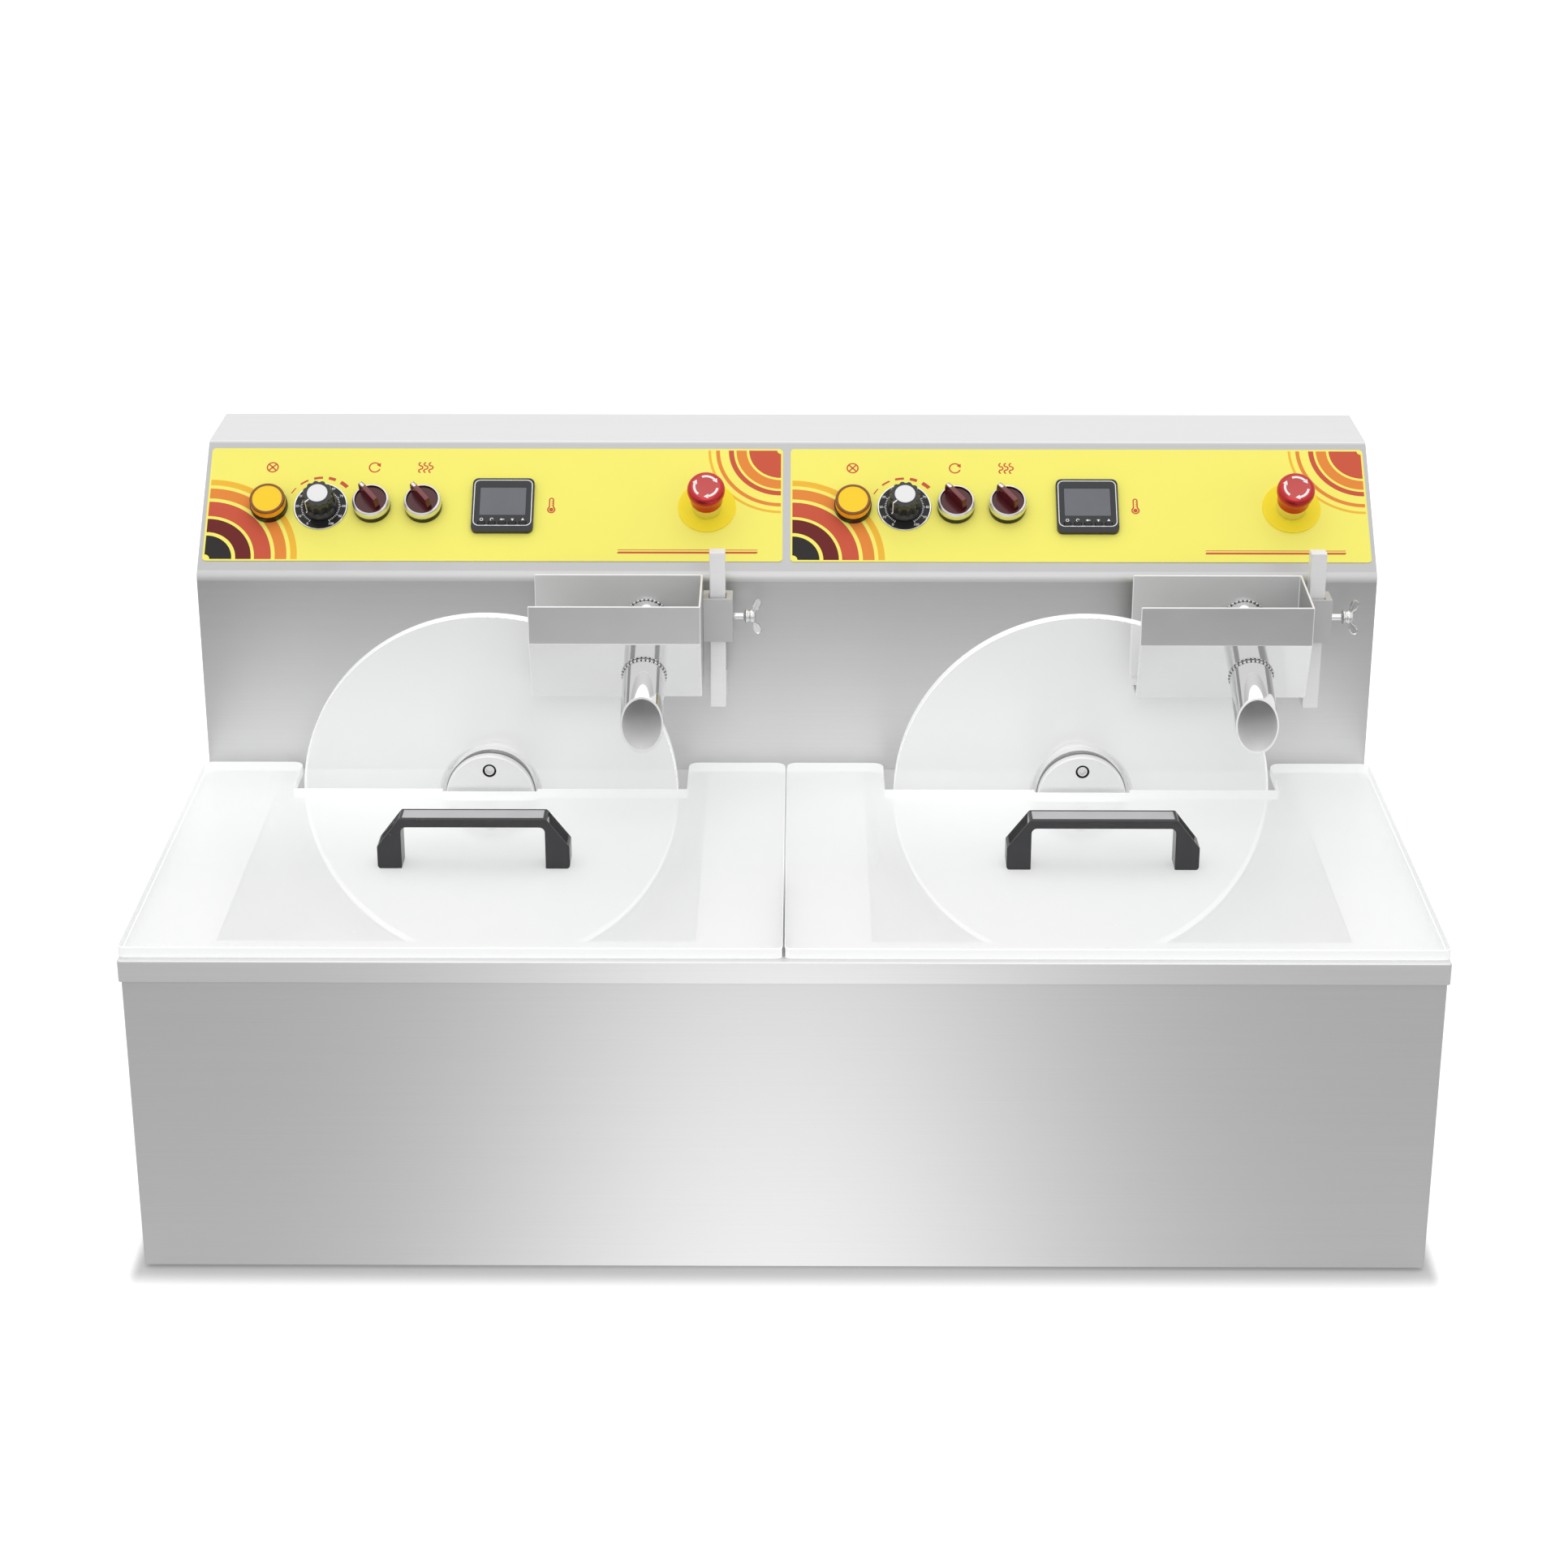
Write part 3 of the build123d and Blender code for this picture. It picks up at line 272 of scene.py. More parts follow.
softbox("overhead_softbox", (0, 0.3, 2.6), (0, 0.1, 0.2), 3.0, 2.2, 10)
softbox("front_softbox", (0, -2.7, 2.9), (0, 0, 0.3), 2.2, 1.4, 12)

# %% [markdown]
# No real surface is even. Two node groups bring the unevenness: in both, one noise lightens and darkens
# the colour a little and changes the gloss, and a noise also stands up as a faint bump. Only the noise
# differs.

# %% Uneven surfaces
bump_height = 0.0002


def around_middle(tree, value, amount, middle):
    """middle + (value - 0.5) * amount, with sockets or numbers."""
    return calculate(tree, "MULTIPLY_ADD", calculate(tree, "SUBTRACT", value, 0.5), amount, middle)


def surface_group(name, make_noise):
    """A group that varies colour, gloss and normal by the two noises that a function makes in it."""
    group = bpy.data.node_groups.new(name, "ShaderNodeTree")
    for socket in ("Colour", "Tint", "Roughness", "Rough Change", "Bump"):
        kind = "NodeSocketColor" if socket == "Colour" else "NodeSocketFloat"
        group.interface.new_socket(name=socket, in_out="INPUT", socket_type=kind)
    for socket, kind in (("Colour", "Color"), ("Roughness", "Float"), ("Normal", "Vector")):
        group.interface.new_socket(name=socket, in_out="OUTPUT", socket_type="NodeSocket" + kind)
    given = group.nodes.new("NodeGroupInput").outputs
    result = group.nodes.new("NodeGroupOutput").inputs
    cloudy, fine = make_noise(group)
    lightness = around_middle(group, cloudy, given["Tint"], 1.0)
    tinted = add_node(group, "VectorMath", given["Colour"], operation="SCALE", Scale=lightness)
    gloss = around_middle(group, cloudy, given["Rough Change"], given["Roughness"])
    raised = add_node(group, "Bump", Strength=given["Bump"], Distance=bump_height, Height=fine)
    feed(group, result["Colour"], tinted.outputs[0])
    feed(group, result["Roughness"], gloss)
    feed(group, result["Normal"], raised.outputs[0])
    print("group", group.name)
    return group


# %% [markdown]
# Brushed steel carries thousands of fine scratches, all one way. A noise stretched a hundredfold along
# the sheet gives them. Faces that look sideways are brushed front to back, so a mask from the surface's
# own normal swaps the two directions. Moulded plastic, rubber and cast metal have a fine grain instead,
# and slow, cloudy changes of gloss, as fingers and cleaning leave them.

# %% Scratches and grain
scratch_across = 900
scratch_along = 6
grain_scale = 1500
smudge_scale = 28


def scratches(tree):
    """Fine noise drawn out along X, or along Y on faces that look sideways."""
    along_x = (scratch_along, scratch_across, scratch_across)
    along_y = (scratch_across, scratch_along, scratch_across)
    lines = []
    for scale in (along_x, along_y):
        place = object_place(tree, scale)
        noise = add_node(tree, "TexNoise", Vector=place, Scale=1.0, Detail=3.0, Roughness=0.7)
        lines.append(noise.outputs["Fac"])
    normal = axes_of(tree, add_node(tree, "TexCoord").outputs["Normal"])
    sideways = calculate(tree, "GREATER_THAN", calculate(tree, "ABSOLUTE", normal["X"]), 0.7)
    chosen = add_node(tree, "Mix", data_type="FLOAT", Factor=sideways, A=lines[0], B=lines[1])
    return chosen.outputs["Result"], chosen.outputs["Result"]


def grain_and_smudges(tree):
    """Cloudy smudges, and a fine grain."""
    smudges = add_node(
        tree, "TexNoise", Vector=object_place(tree), Scale=smudge_scale, Detail=4.0, Roughness=0.6
    )
    fine = add_node(tree, "TexNoise", Vector=object_place(tree), Scale=grain_scale, Detail=2.0)
    return smudges.outputs["Fac"], fine.outputs["Fac"]


brushed = surface_group("brushed_scratches", scratches)
grain = surface_group("grain_and_smudges", grain_and_smudges)

# %% [markdown]
# A finish is now a shader with plain values and one of the two groups in front of it. The groups drive
# only what changes over the surface: colour, roughness and normal. Brushed sheet also stretches its
# highlights across the scratches, which is what the shader's Anisotropic value and its Tangent are for.

# %% Finishes with a group


def finish_with(group, name, colour, roughness, metallic, tint, rough_change, bump, **sockets):
    """A finish with a group in front of its colour, roughness and normal."""
    finish = new_finish(name, colour, roughness, metallic, **sockets)
    tree = finish.node_tree
    values = {"Colour": (*colour, 1), "Roughness": roughness}
    values |= {"Tint": tint, "Rough_Change": rough_change, "Bump": bump}
    uneven = add_node(tree, "Group", node_tree=group, **values)
    for output, socket in (("Colour", "Base Color"), ("Roughness", "Roughness"), ("Normal", "Normal")):
        feed(tree, shader_of(finish).inputs[socket], uneven.outputs[output])
    return finish


def brushed_along_x(finish, amount):
    """Stretch a finish's highlights across its scratches, which run along X."""
    shader = shader_of(finish)
    shader.inputs["Anisotropic"].default_value = amount
    shader.inputs["Anisotropic Rotation"].default_value = 0.25
    run = add_node(finish.node_tree, "CombineXYZ", X=1.0, Y=0.01)
    feed(finish.node_tree, shader.inputs["Tangent"], run.outputs[0])


# %% [markdown]
# The steels come first. The body is satin and brushed, the troughs and posts are a little brighter, and
# the scraper, spout, hub and screws are polished or turned, so they are smoother. The bent sheets get
# lit and shaded copies of one satin steel, a grey for each way a face looks: painted light and shade.
# The deck's top and the troughs are a lighter, less metallic steel, painted light against the shade
# under the lids. The console's wall is darker towards its fold, a painted shade: a Map Range on the
# height scales the wall's colour. Each row gives a steel's grey, its roughness and how metallic it is.

# %% Steels
# Painted light and shade: copies of one satin steel at other greys, for faces that look other ways.
body_sheets = {
    "satin_steel": 0.66,
    "wall_steel": 0.66,
    "slope_sheet": 0.46,
    "fold_sheet": 0.54,
    "top_sheet": 0.74,
    "lip_sheet": 0.77,
}
other_sheets = (
    # Painted light: the deck's top and the troughs, lighter and less metallic against the shade under
    # the lids.
    ("deck_steel", 0.76, 0.5, 0.35),
    ("tank_steel", 0.88, 0.4, 0.2),
    ("post_steel", 0.90, 0.45, 0.3),
)
smooth_steels = (
    ("clamp_steel", 0.56, 0.5, 0.2),
    # Painted light and shade: three greys for one box sheet, by the way its faces look.
    ("box_front_steel", 0.60, 0.34, 1.0),
    ("box_slope_steel", 0.78, 0.07, 1.0),
    ("box_inside_steel", 0.72, 0.45, 0.3),
    # Painted highlight on rounded edges and folds.
    ("bright_edge", 0.95, 0.3, 0.15),
    ("polished_steel", 0.72, 0.14, 1.0),
    ("turned_steel", 0.84, 0.24, 1.0),
    ("spout_steel", 0.80, 0.06, 1.0),
    ("cap_steel", 0.60, 0.3, 1.0),
    ("satin_bezel", 0.80, 0.33, 1.0),
    # Painted light: a spout's inside, against the shade in the tube.
    ("spout_inside", 0.78, 0.4, 0.2),
    # Painted shade in the hub's screw bores.
    ("dark_bore", 0.10, 0.5, 0.3),
    # A painted shadow line round the hub plate.
    ("grey_gasket", 0.24, 0.5, 0.0),
    ("weld_steel", 0.66, 0.3, 1.0),
    # Painted shade in the valleys between weld beads.
    ("weld_gap", 0.04, 0.5, 0.0),
    ("silver_trim", 0.80, 0.35, 0.3),
)
for name, grey in body_sheets.items():
    brushed_along_x(finish_with(brushed, name, (grey, grey, grey), 0.42, 1.0, 0.08, 0.09, 0.035), 0.7)
for name, grey, roughness, metallic in other_sheets:
    finish_with(brushed, name, (grey, grey, grey), roughness, metallic, 0.08, 0.09, 0.035)
for name, grey, roughness, metallic in smooth_steels:
    finish_with(grain, name, (grey, grey, grey), roughness, metallic, 0.05, 0.08, 0.012)
# Painted shade: the wall's colour is scaled darker towards its fold at the top.
wall_tree = finish_named["wall_steel"].node_tree
wall_colour = shader_of(finish_named["wall_steel"]).inputs["Base Color"]
wall_height = axes_of(wall_tree, object_place(wall_tree))["Z"]
painted_shade_share = ramp(wall_tree, wall_height, 0.25, 0.395, 1.14, 0.70, "LINEAR")
even_colour = wall_colour.links[0].from_socket
painted_shade_colour = add_node(wall_tree, "VectorMath", even_colour, operation="SCALE", Scale=painted_shade_share)
feed(wall_tree, wall_colour, painted_shade_colour.outputs[0])
print("steels", len(finish_named))

# %% [markdown]
# Clear sheet is drawn here as a milky skin over what is behind it: Alpha lets part of its near face
# through, and nearly all of its far face. The milky skin is a painted reflection of the white room.
# Light runs inside the sheet and some of it comes out again, which a little Emission paints in as a
# glow, and most of it at the sawn edges, so they get a denser finish of their own, with its own painted
# glow. A wheel is clearer at its hub, where the flange behind it shows through: Alpha comes from the
# distance to the axle. A lid is denser towards the back, where it is seen flatter and the painted
# reflection is stronger: there Alpha comes from the distance to the wall. The lids' outer edges are
# greyer, a painted shade. Their edges at the seam between them are dark in front, a painted shade in
# the gap, and fade out.

# %% Clear sheet
milky = (0.94, 0.95, 0.95)
clear_look = (0.25, 0.0, 0.02, 0.1, 0.005)
# Painted glow: Emission on clear sheet, which is no lamp.
painted_glow = {"lid_acrylic": 0.215, "wheel_acrylic": 0.25, "far_acrylic": 0.0, "acrylic_edge": 0.22}
finish_with(grain, "lid_acrylic", milky, *clear_look)
finish_with(grain, "wheel_acrylic", milky, *clear_look)
finish_with(grain, "far_acrylic", milky, *clear_look, Alpha=0.08)
finish_with(grain, "acrylic_edge", (0.97, 0.98, 0.98), 0.2, 0.0, 0.01, 0.06, 0.01, Alpha=0.95)
# Painted shade on the lids' outer edges.
finish_with(grain, "outer_edge_painted_shade", (0.60, 0.61, 0.62), 0.3, 0.0, 0.02, 0.06, 0.01, Alpha=0.9)
# Painted shade in the gap between the lids.
finish_with(grain, "seam_painted_shade", (0.10, 0.10, 0.11), 0.5, 0.0, 0.02, 0.06, 0.01)
for name, strength in painted_glow.items():
    shader = shader_of(finish_named[name])
    shader.inputs["Specular IOR Level"].default_value = 0.25
    shader.inputs["Emission Color"].default_value = white
    shader.inputs["Emission Strength"].default_value = strength
axle = joint_named["right_wheel_spin"]["pos_m"]
axle_flat = (axle[0], 0, axle[2])
wheel_tree = finish_named["wheel_acrylic"].node_tree
one_side = add_node(wheel_tree, "VectorMath", object_place(wheel_tree, (1, 0, 1)), operation="ABSOLUTE")
from_axle = add_node(wheel_tree, "VectorMath", one_side.outputs[0], axle_flat, operation="DISTANCE")


def veil(name, distance, near, far, near_alpha, far_alpha):
    """Let a distance in metres set a finish's Alpha, from a near place to a far one."""
    finish = finish_named[name]
    alpha = ramp(finish.node_tree, distance, near, far, near_alpha, far_alpha)
    feed(finish.node_tree, shader_of(finish).inputs["Alpha"], alpha)


def from_front(name):
    """How far back a place on a finish is, as its Y."""
    tree = finish_named[name].node_tree
    return axes_of(tree, object_place(tree))["Y"]


veil("wheel_acrylic", from_axle.outputs["Value"], 0.037, 0.041, 0.25, 0.54)
# The milky skin, a painted reflection, is denser towards the back.
veil("lid_acrylic", from_front("lid_acrylic"), -0.14, 0.03, 0.5, 0.7)
# The painted shade at the seam fades out towards the back.
veil("seam_painted_shade", from_front("seam_painted_shade"), -0.2, -0.09, 0.95, 0.05)
print("clear finishes", list(painted_glow))

# %% [markdown]
# Plastics, rubber, paint and ink follow. Black is never quite black, a moulded part has a fine grain,
# and ink is a little less glossy than the sheet that it is printed on. Coloured lenses and knobs are
# half clear: the pilot lens has a deep orange wall and a bright face. The stop button is red metal with
# a painted top. Each row gives a colour, then roughness, metallic, tint, change of gloss and bump.

# %% Plastics, paint and ink
ink_look = (0.5, 0.0, 0.08, 0.1, 0.02)
glossy_finishes = {
    "handle_plastic": ((0.03, 0.03, 0.033), 0.24, 0.0, 0.3, 0.2, 0.06),
    # Painted sheen: the tray floor is a lighter grey where the top catches the light.
    "handle_bar": ((0.52, 0.52, 0.54), 0.36, 0.0, 0.25, 0.2, 0.05),
    "knob_plastic": ((0.022, 0.022, 0.024), 0.24, 0.0, 0.3, 0.16, 0.03),
    "black_rubber": ((0.02, 0.02, 0.02), 0.75, 0.0, 0.4, 0.2, 0.25),
    "heater_mat": ((0.42, 0.10, 0.05), 0.6, 0.0, 0.3, 0.2, 0.3),
    "motor_paint": ((0.10, 0.11, 0.12), 0.45, 0.0, 0.25, 0.2, 0.15),
    "bearing_plastic": ((0.80, 0.79, 0.75), 0.4, 0.0, 0.1, 0.15, 0.05),
    "white_mark": ((0.88, 0.88, 0.87), 0.4, 0.0, 0.04, 0.1, 0.01),
    "amber_rim": ((0.24, 0.07, 0.004), 0.12, 0.0, 0.05, 0.06, 0.0),
    "amber_wall": ((0.98, 0.42, 0.006), 0.15, 0.0, 0.05, 0.06, 0.0),
    "red_selector": ((0.085, 0.004, 0.008), 0.2, 0.0, 0.2, 0.1, 0.0),
    # Painted highlight on the fin's top faces.
    "red_ridge": ((0.20, 0.05, 0.055), 0.3, 0.0, 0.2, 0.1, 0.0),
    "red_metal": ((0.52, 0.03, 0.035), 0.2, 0.7, 0.05, 0.1, 0.0),
    "red_face": ((0.55, 0.065, 0.06), 0.35, 0.1, 0.04, 0.1, 0.01),
}
dull_finishes = {
    "black_plastic": ((0.010, 0.010, 0.011), 0.28, 0.0, 0.3, 0.16, 0.03),
    "case_plastic": ((0.035, 0.036, 0.04), 0.34, 0.0, 0.25, 0.16, 0.04),
    "key_plastic": ((0.012, 0.012, 0.013), 0.36, 0.0, 0.3, 0.16, 0.05),
    "grey_screen": ((0.15, 0.157, 0.175), 0.18, 0.0, 0.25, 0.1, 0.0),
    "amber_face": ((1.0, 0.65, 0.015), 0.3, 0.0, 0.03, 0.06, 0.0),
}
matt_finishes = {
    "yellow_print": ((0.973, 0.905, 0.174), 0.42, 0.0, 0.03, 0.1, 0.02),
    "yellow_plate": ((1.0, 0.80, 0.035), 0.42, 0.0, 0.03, 0.1, 0.02),
    "black_ink": ((0.03, 0.025, 0.025), *ink_look),
    "maroon_ink": ((0.16, 0.02, 0.02), *ink_look),
    "red_ink": ((0.63, 0.105, 0.055), *ink_look),
    "orange_ink": ((0.83, 0.27, 0.05), *ink_look),
    "amber_ink": ((0.93, 0.52, 0.05), *ink_look),
}
for mirror_level, finishes in ((0.5, glossy_finishes), (0.3, dull_finishes), (0.15, matt_finishes)):
    for name, values in finishes.items():
        finish_with(grain, name, *values, Specular_IOR_Level=mirror_level)
print("finishes", len(finish_named))

# %% [markdown]
# The hands of this lesson are a few short functions. Each does what a person does with the mouse: pick
# up a piece, go into edit mode, choose faces by where they are, and leave edit mode again. Everything
# is deselected first, because an operator works on all that is selected.

# %% Hands


def hold(piece):
    """Make one piece the only selected one, and the active one."""
    bpy.ops.object.select_all(action="DESELECT")
    piece.select_set(True)
    bpy.context.view_layer.objects.active = piece


def start_editing(piece):
    """Go into edit mode on one piece."""
    hold(piece)
    bpy.ops.object.mode_set(mode="EDIT")


def stop_editing():
    """Go back to object mode."""
    bpy.ops.object.mode_set(mode="OBJECT")


def pick(piece, test, kind="FACE"):
    """In edit mode, select just the faces, edges or points that pass a test."""
    bpy.ops.mesh.select_mode(type=kind)
    bpy.ops.mesh.select_all(action="DESELECT")
    mesh = bmesh.from_edit_mesh(piece.data)
    mesh.normal_update()
    for part in {"FACE": mesh.faces, "EDGE": mesh.edges, "VERT": mesh.verts}[kind]:
        if test(part):
            part.select_set(True)
    mesh.select_flush_mode()
    bmesh.update_edit_mesh(piece.data)


def middle(part):
    """The middle of a face or an edge."""
    return sum((point.co for point in part.verts), Vector()) / len(part.verts)


def fresh(name):
    """Name the piece that was just made."""
    piece = bpy.context.object
    piece.name = name
    piece.data.name = name
    return piece


def add_piece(name, primitive, **sizes):
    """Add a primitive with nothing else selected, and name it."""
    bpy.ops.object.select_all(action="DESELECT")
    primitive(**sizes)
    return fresh(name)


def apply_place(piece, matrix):
    """Move a piece's mesh by a matrix, and leave its object at the origin."""
    hold(piece)
    piece.matrix_world = matrix
    bpy.ops.object.transform_apply(location=True, rotation=True, scale=True)


def turn_about(axis, degrees):
    """A turn about one of the three axes."""
    return Matrix.Rotation(math.radians(degrees), 4, axis)


def paint(piece, finish, test=None):
    """Give a piece a finish all over, or just on the faces that pass a test."""
    piece.data.materials.append(finish_named[finish])
    slot = len(piece.data.materials) - 1
    for face in piece.data.polygons:
        if test is None or test(face):
            face.material_index = slot


# %% [markdown]
# Real metal and plastic never end in a razor edge, and it is the tiny rounded edges that catch the
# light. A Bevel rounds them. Smooth shading would then make broad faces look bent, so their normals get
# the most weight.

# %% Soft edges


def apply_modifier(piece, kind, **settings):
    """Add a modifier with these settings to a piece, and apply it."""
    hold(piece)
    modifier = piece.modifiers.new(kind.lower(), kind)
    for name, value in settings.items():
        setattr(modifier, name, value)
    bpy.ops.object.modifier_apply(modifier=modifier.name)


def smooth(piece, angle=30):
    """Smooth the shading over edges gentler than an angle."""
    hold(piece)
    bpy.ops.object.shade_smooth_by_angle(angle=math.radians(angle))


def round_edges(piece, width, segments=2, angle=30):
    """Round the edges sharper than an angle, by a width in mm."""
    limit = {"limit_method": "ANGLE", "angle_limit": math.radians(angle), "use_clamp_overlap": False}
    apply_modifier(piece, "BEVEL", width=width * mm, segments=segments, **limit)


def keep_flat(piece, angle=30):
    """Smooth the shading, and let broad faces stay flat."""
    smooth(piece, angle)
    apply_modifier(piece, "WEIGHTED_NORMAL", keep_sharp=True)


def soften(piece, width, segments=2, angle=30):
    """Round the edges sharper than an angle, by a width in mm, and keep broad faces flat."""
    round_edges(piece, width, segments, angle)
    keep_flat(piece, angle)


# %% [markdown]
# Most of the machine is right as the solids have it: bent sheet, posts, collars. Each of these solids
# gets an own copy. The copy's loose triangles are welded, its flat faces made whole again, its edges
# softened, and the copy then rides with the solid's body and stands for it.

# %% Dressing a solid
unit_pitch = joint_named["right_wheel_spin"]["pos_m"][0] - joint_named["left_wheel_spin"]["pos_m"][0]


def own_copy(node_name):
    """A welded copy of a solid, with its flat faces whole."""
    name = node_name + "_dressed"
    piece = bpy.data.objects.new(name, frame["nodes"][node_name].data.copy())
    piece.data.name = name
    piece.data.materials.clear()
    bpy.context.scene.collection.objects.link(piece)
    start_editing(piece)
    bpy.ops.mesh.customdata_custom_splitnormals_clear()
    bpy.ops.mesh.select_all(action="SELECT")
    bpy.ops.mesh.remove_doubles(threshold=0.001 * mm)
    bpy.ops.mesh.dissolve_limited(angle_limit=math.radians(0.5))
    stop_editing()
    return piece


def stands_for(piece, node_name):
    """The piece rides with a solid's body and stands for it."""
    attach(piece, frame["nodes"][node_name]["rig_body"])
    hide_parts(node_name)


def dress(node_name, finish, width, segments=2, angle=30):
    """An own copy of a solid, with softened edges and one finish."""
    piece = own_copy(node_name)
    soften(piece, width, segments, angle)
    paint(piece, finish)
    stands_for(piece, node_name)
    return piece


def both(name):
    """A left-hand name, and its right-hand twin."""
    return [name.replace("left", side) for side in ("left", "right")]


# %% [markdown]
# The sheet metal comes first: the shell, the deck with its turned-down lip, the console bent from one
# sheet, the troughs, the posts. All are satin steel, brushed along the machine, and the console's and
# the deck's faces take painted light and shade, a grey for each way a face looks. Solids that need one
# finish and one width of edge are a plain list.

# %% Sheet metal and fittings
plain_solids = (
    ("cabinet_shell", "satin_steel", 0.4),
    ("rear_panel", "satin_steel", 0.4),
    ("base_plate", "satin_steel", 0.4),
    ("left_tank", "tank_steel", 0.4),
    ("right_tank", "tank_steel", 0.4),
    ("scraper_posts", "post_steel", 0.5),
    ("left_clamp_block", "clamp_steel", 0.5),
    ("right_clamp_block", "clamp_steel", 0.5),
    ("stop_collars", "satin_bezel", 0.4),
    ("left_stop_plunger", "polished_steel", 0.3),
    ("right_stop_plunger", "polished_steel", 0.3),
    ("panel_collars", "black_plastic", 0.3),
    ("controller_cases", "case_plastic", 0.3),
    ("power_inlet", "black_plastic", 0.4),
    ("gear_motors", "motor_paint", 1.0),
    ("shaft_bearings", "bearing_plastic", 0.5),
    ("tank_heaters", "heater_mat", 0.5),
    ("temperature_probes", "polished_steel", 0.4),
)
for name, finish, width in plain_solids:
    dress(name, finish, width)
dress("rubber_feet", "black_rubber", 1.0, 3)
console = dress("console_cover", "satin_steel", 0.4)
# Painted light and shade: the console's faces get greys by the way they look.
paint(console, "wall_steel", lambda face: face.normal.y < -0.9)
paint(console, "fold_sheet", lambda face: face.normal.y < -0.1 and face.normal.z > 0.05)
paint(console, "slope_sheet", lambda face: face.normal.y < -0.6 and face.normal.z > 0.7)
paint(console, "top_sheet", lambda face: face.normal.z > 0.9)
# Painted light: the lip is lighter than the shell, and the top a lighter, less metallic steel.
deck = dress("top_deck", "lip_sheet", 0.4)
paint(deck, "deck_steel", lambda face: face.normal.z > 0.9)
print("dressed", len(plain_solids) + 3, "solids")

# %% [markdown]
# The scraper boxes and spouts are polished. Each box's front, slope and inside get greys of their own,
# painted light and shade, and its rounded edges and folds get a painted highlight, the brightest of
# all. Faces are told apart by the way they look: along the scraper's slope, forward, or along no axis
# at all, as the faces of a rounded edge do. A spout's inside looks at the spout's own axis, and is a
# lighter, less metallic steel: painted light in the shade of the tube.

# %% Scrapers
square = 0.999
box_slope = Vector((0, -47.5, -18)).normalized()
box_back_y = 0.03
spout_drop = 25
spout_run = Vector((0, -math.cos(math.radians(spout_drop)), -math.sin(math.radians(spout_drop))))
spout_reach = 0.121
spout_root_y = 0.061
spout_root_z = 0.3765


def is_edge(face):
    """True for a face of a rounded edge: it looks along no axis, and not along the scraper's slope."""
    along_axis = max(abs(value) for value in face.normal)
    return along_axis < square and abs(face.normal.dot(box_slope)) < square


def inside_tube(face, on_axis):
    """True for a face that looks at the spout's axis."""
    out = face.center - on_axis
    out -= out.dot(spout_run) * spout_run
    return out.dot(face.normal) < 0


for name in both("left_scraper_box"):
    box = dress(name, "box_front_steel", 0.6, angle=15)
    paint(box, "box_slope_steel", lambda face: face.normal.dot(box_slope) > square)
    paint(box, "box_inside_steel", lambda face: face.normal.y < -square and face.center.y > box_back_y)
    # Painted highlight on the box's rounded edges and folds.
    paint(box, "bright_edge", is_edge)
for name, wheel_joint in zip(both("left_scraper_spout"), both("left_wheel_spin")):
    spout = dress(name, "spout_steel", 0.3)
    spout_root = Vector((joint_named[wheel_joint]["pos_m"][0] + spout_reach, spout_root_y, spout_root_z))
    # Painted light inside the spout.
    paint(spout, "spout_inside", lambda face: inside_tube(face, spout_root))
for name in both("left_wheel_shaft"):
    shaft = dress(name, "turned_steel", 0.35)
    # Painted highlight on the shaft's round sides.
    paint(shaft, "bright_edge", lambda face: abs(face.normal.y) < square)
print("box faces", len(box.data.polygons), "spout faces", len(spout.data.polygons))

# %% [markdown]
# The lids and wheels are cut from clear sheet. Its broad faces look milky against the steel, a painted
# reflection, and its sawn edges shine white with a painted glow. So each copy has several finishes,
# chosen by the way a face looks: a lid's broad faces look up or down, and a wheel's look forward or
# back. A lid's outer edges and its edge at the seam are painted shade. A wheel's rim is round in its
# solid already, so it gets no Bevel. Clear sheet takes hardly any light away, so it casts no shadow,
# and the wheels are left out of what the steel mirrors.

# %% Lids and wheels
broad = 0.9
sharp = 60
outer_x = 0.45
seam_x = 0.002
for name in both("left_lid"):
    lid = dress(name, "lid_acrylic", 0.6, angle=sharp)
    paint(lid, "far_acrylic", lambda face: face.normal.z < -broad)
    paint(lid, "acrylic_edge", lambda face: abs(face.normal.z) < broad)
    # Painted shade on the outer edges.
    paint(lid, "outer_edge_painted_shade", lambda face: abs(face.normal.x) > broad and abs(face.center.x) > outer_x)
    # Painted shade at the seam between the lids.
    paint(lid, "seam_painted_shade", lambda face: abs(face.normal.x) > broad and abs(face.center.x) < seam_x)
    lid.visible_shadow = False
for name in both("left_wheel_disc"):
    wheel = own_copy(name)
    keep_flat(wheel, sharp)
    paint(wheel, "wheel_acrylic")
    paint(wheel, "far_acrylic", lambda face: face.normal.y > broad)
    paint(wheel, "acrylic_edge", lambda face: abs(face.normal.y) < broad)
    wheel.visible_shadow = False
    wheel.visible_glossy = False
    stands_for(wheel, name)
print("lid faces", len(lid.data.polygons), "wheel faces", len(wheel.data.polygons))

# %% [markdown]
# The handle is a moulded bridge of black plastic with an open well in each shoulder, where a screw
# holds it down. The moulding's edges are well rounded, and a shallow tray is sunk in the top of the
# bar. The tray is made as by hand: pick the top face, inset it twice, and push the inner face down. Its
# floor is painted a lighter grey, a painted sheen where the top catches the light. Like the wheels, the
# handles are left out of what the steel mirrors.

# %% Lid handles
tray_rim = 0.7
tray_draft = 0.3
tray_depth = 0.5
level = 0.99


def at_height(face, height, slack):
    """True for a level face within a slack, in mm, of a height in metres."""
    return face.normal.z > level and abs(face.center.z - height) < slack * mm


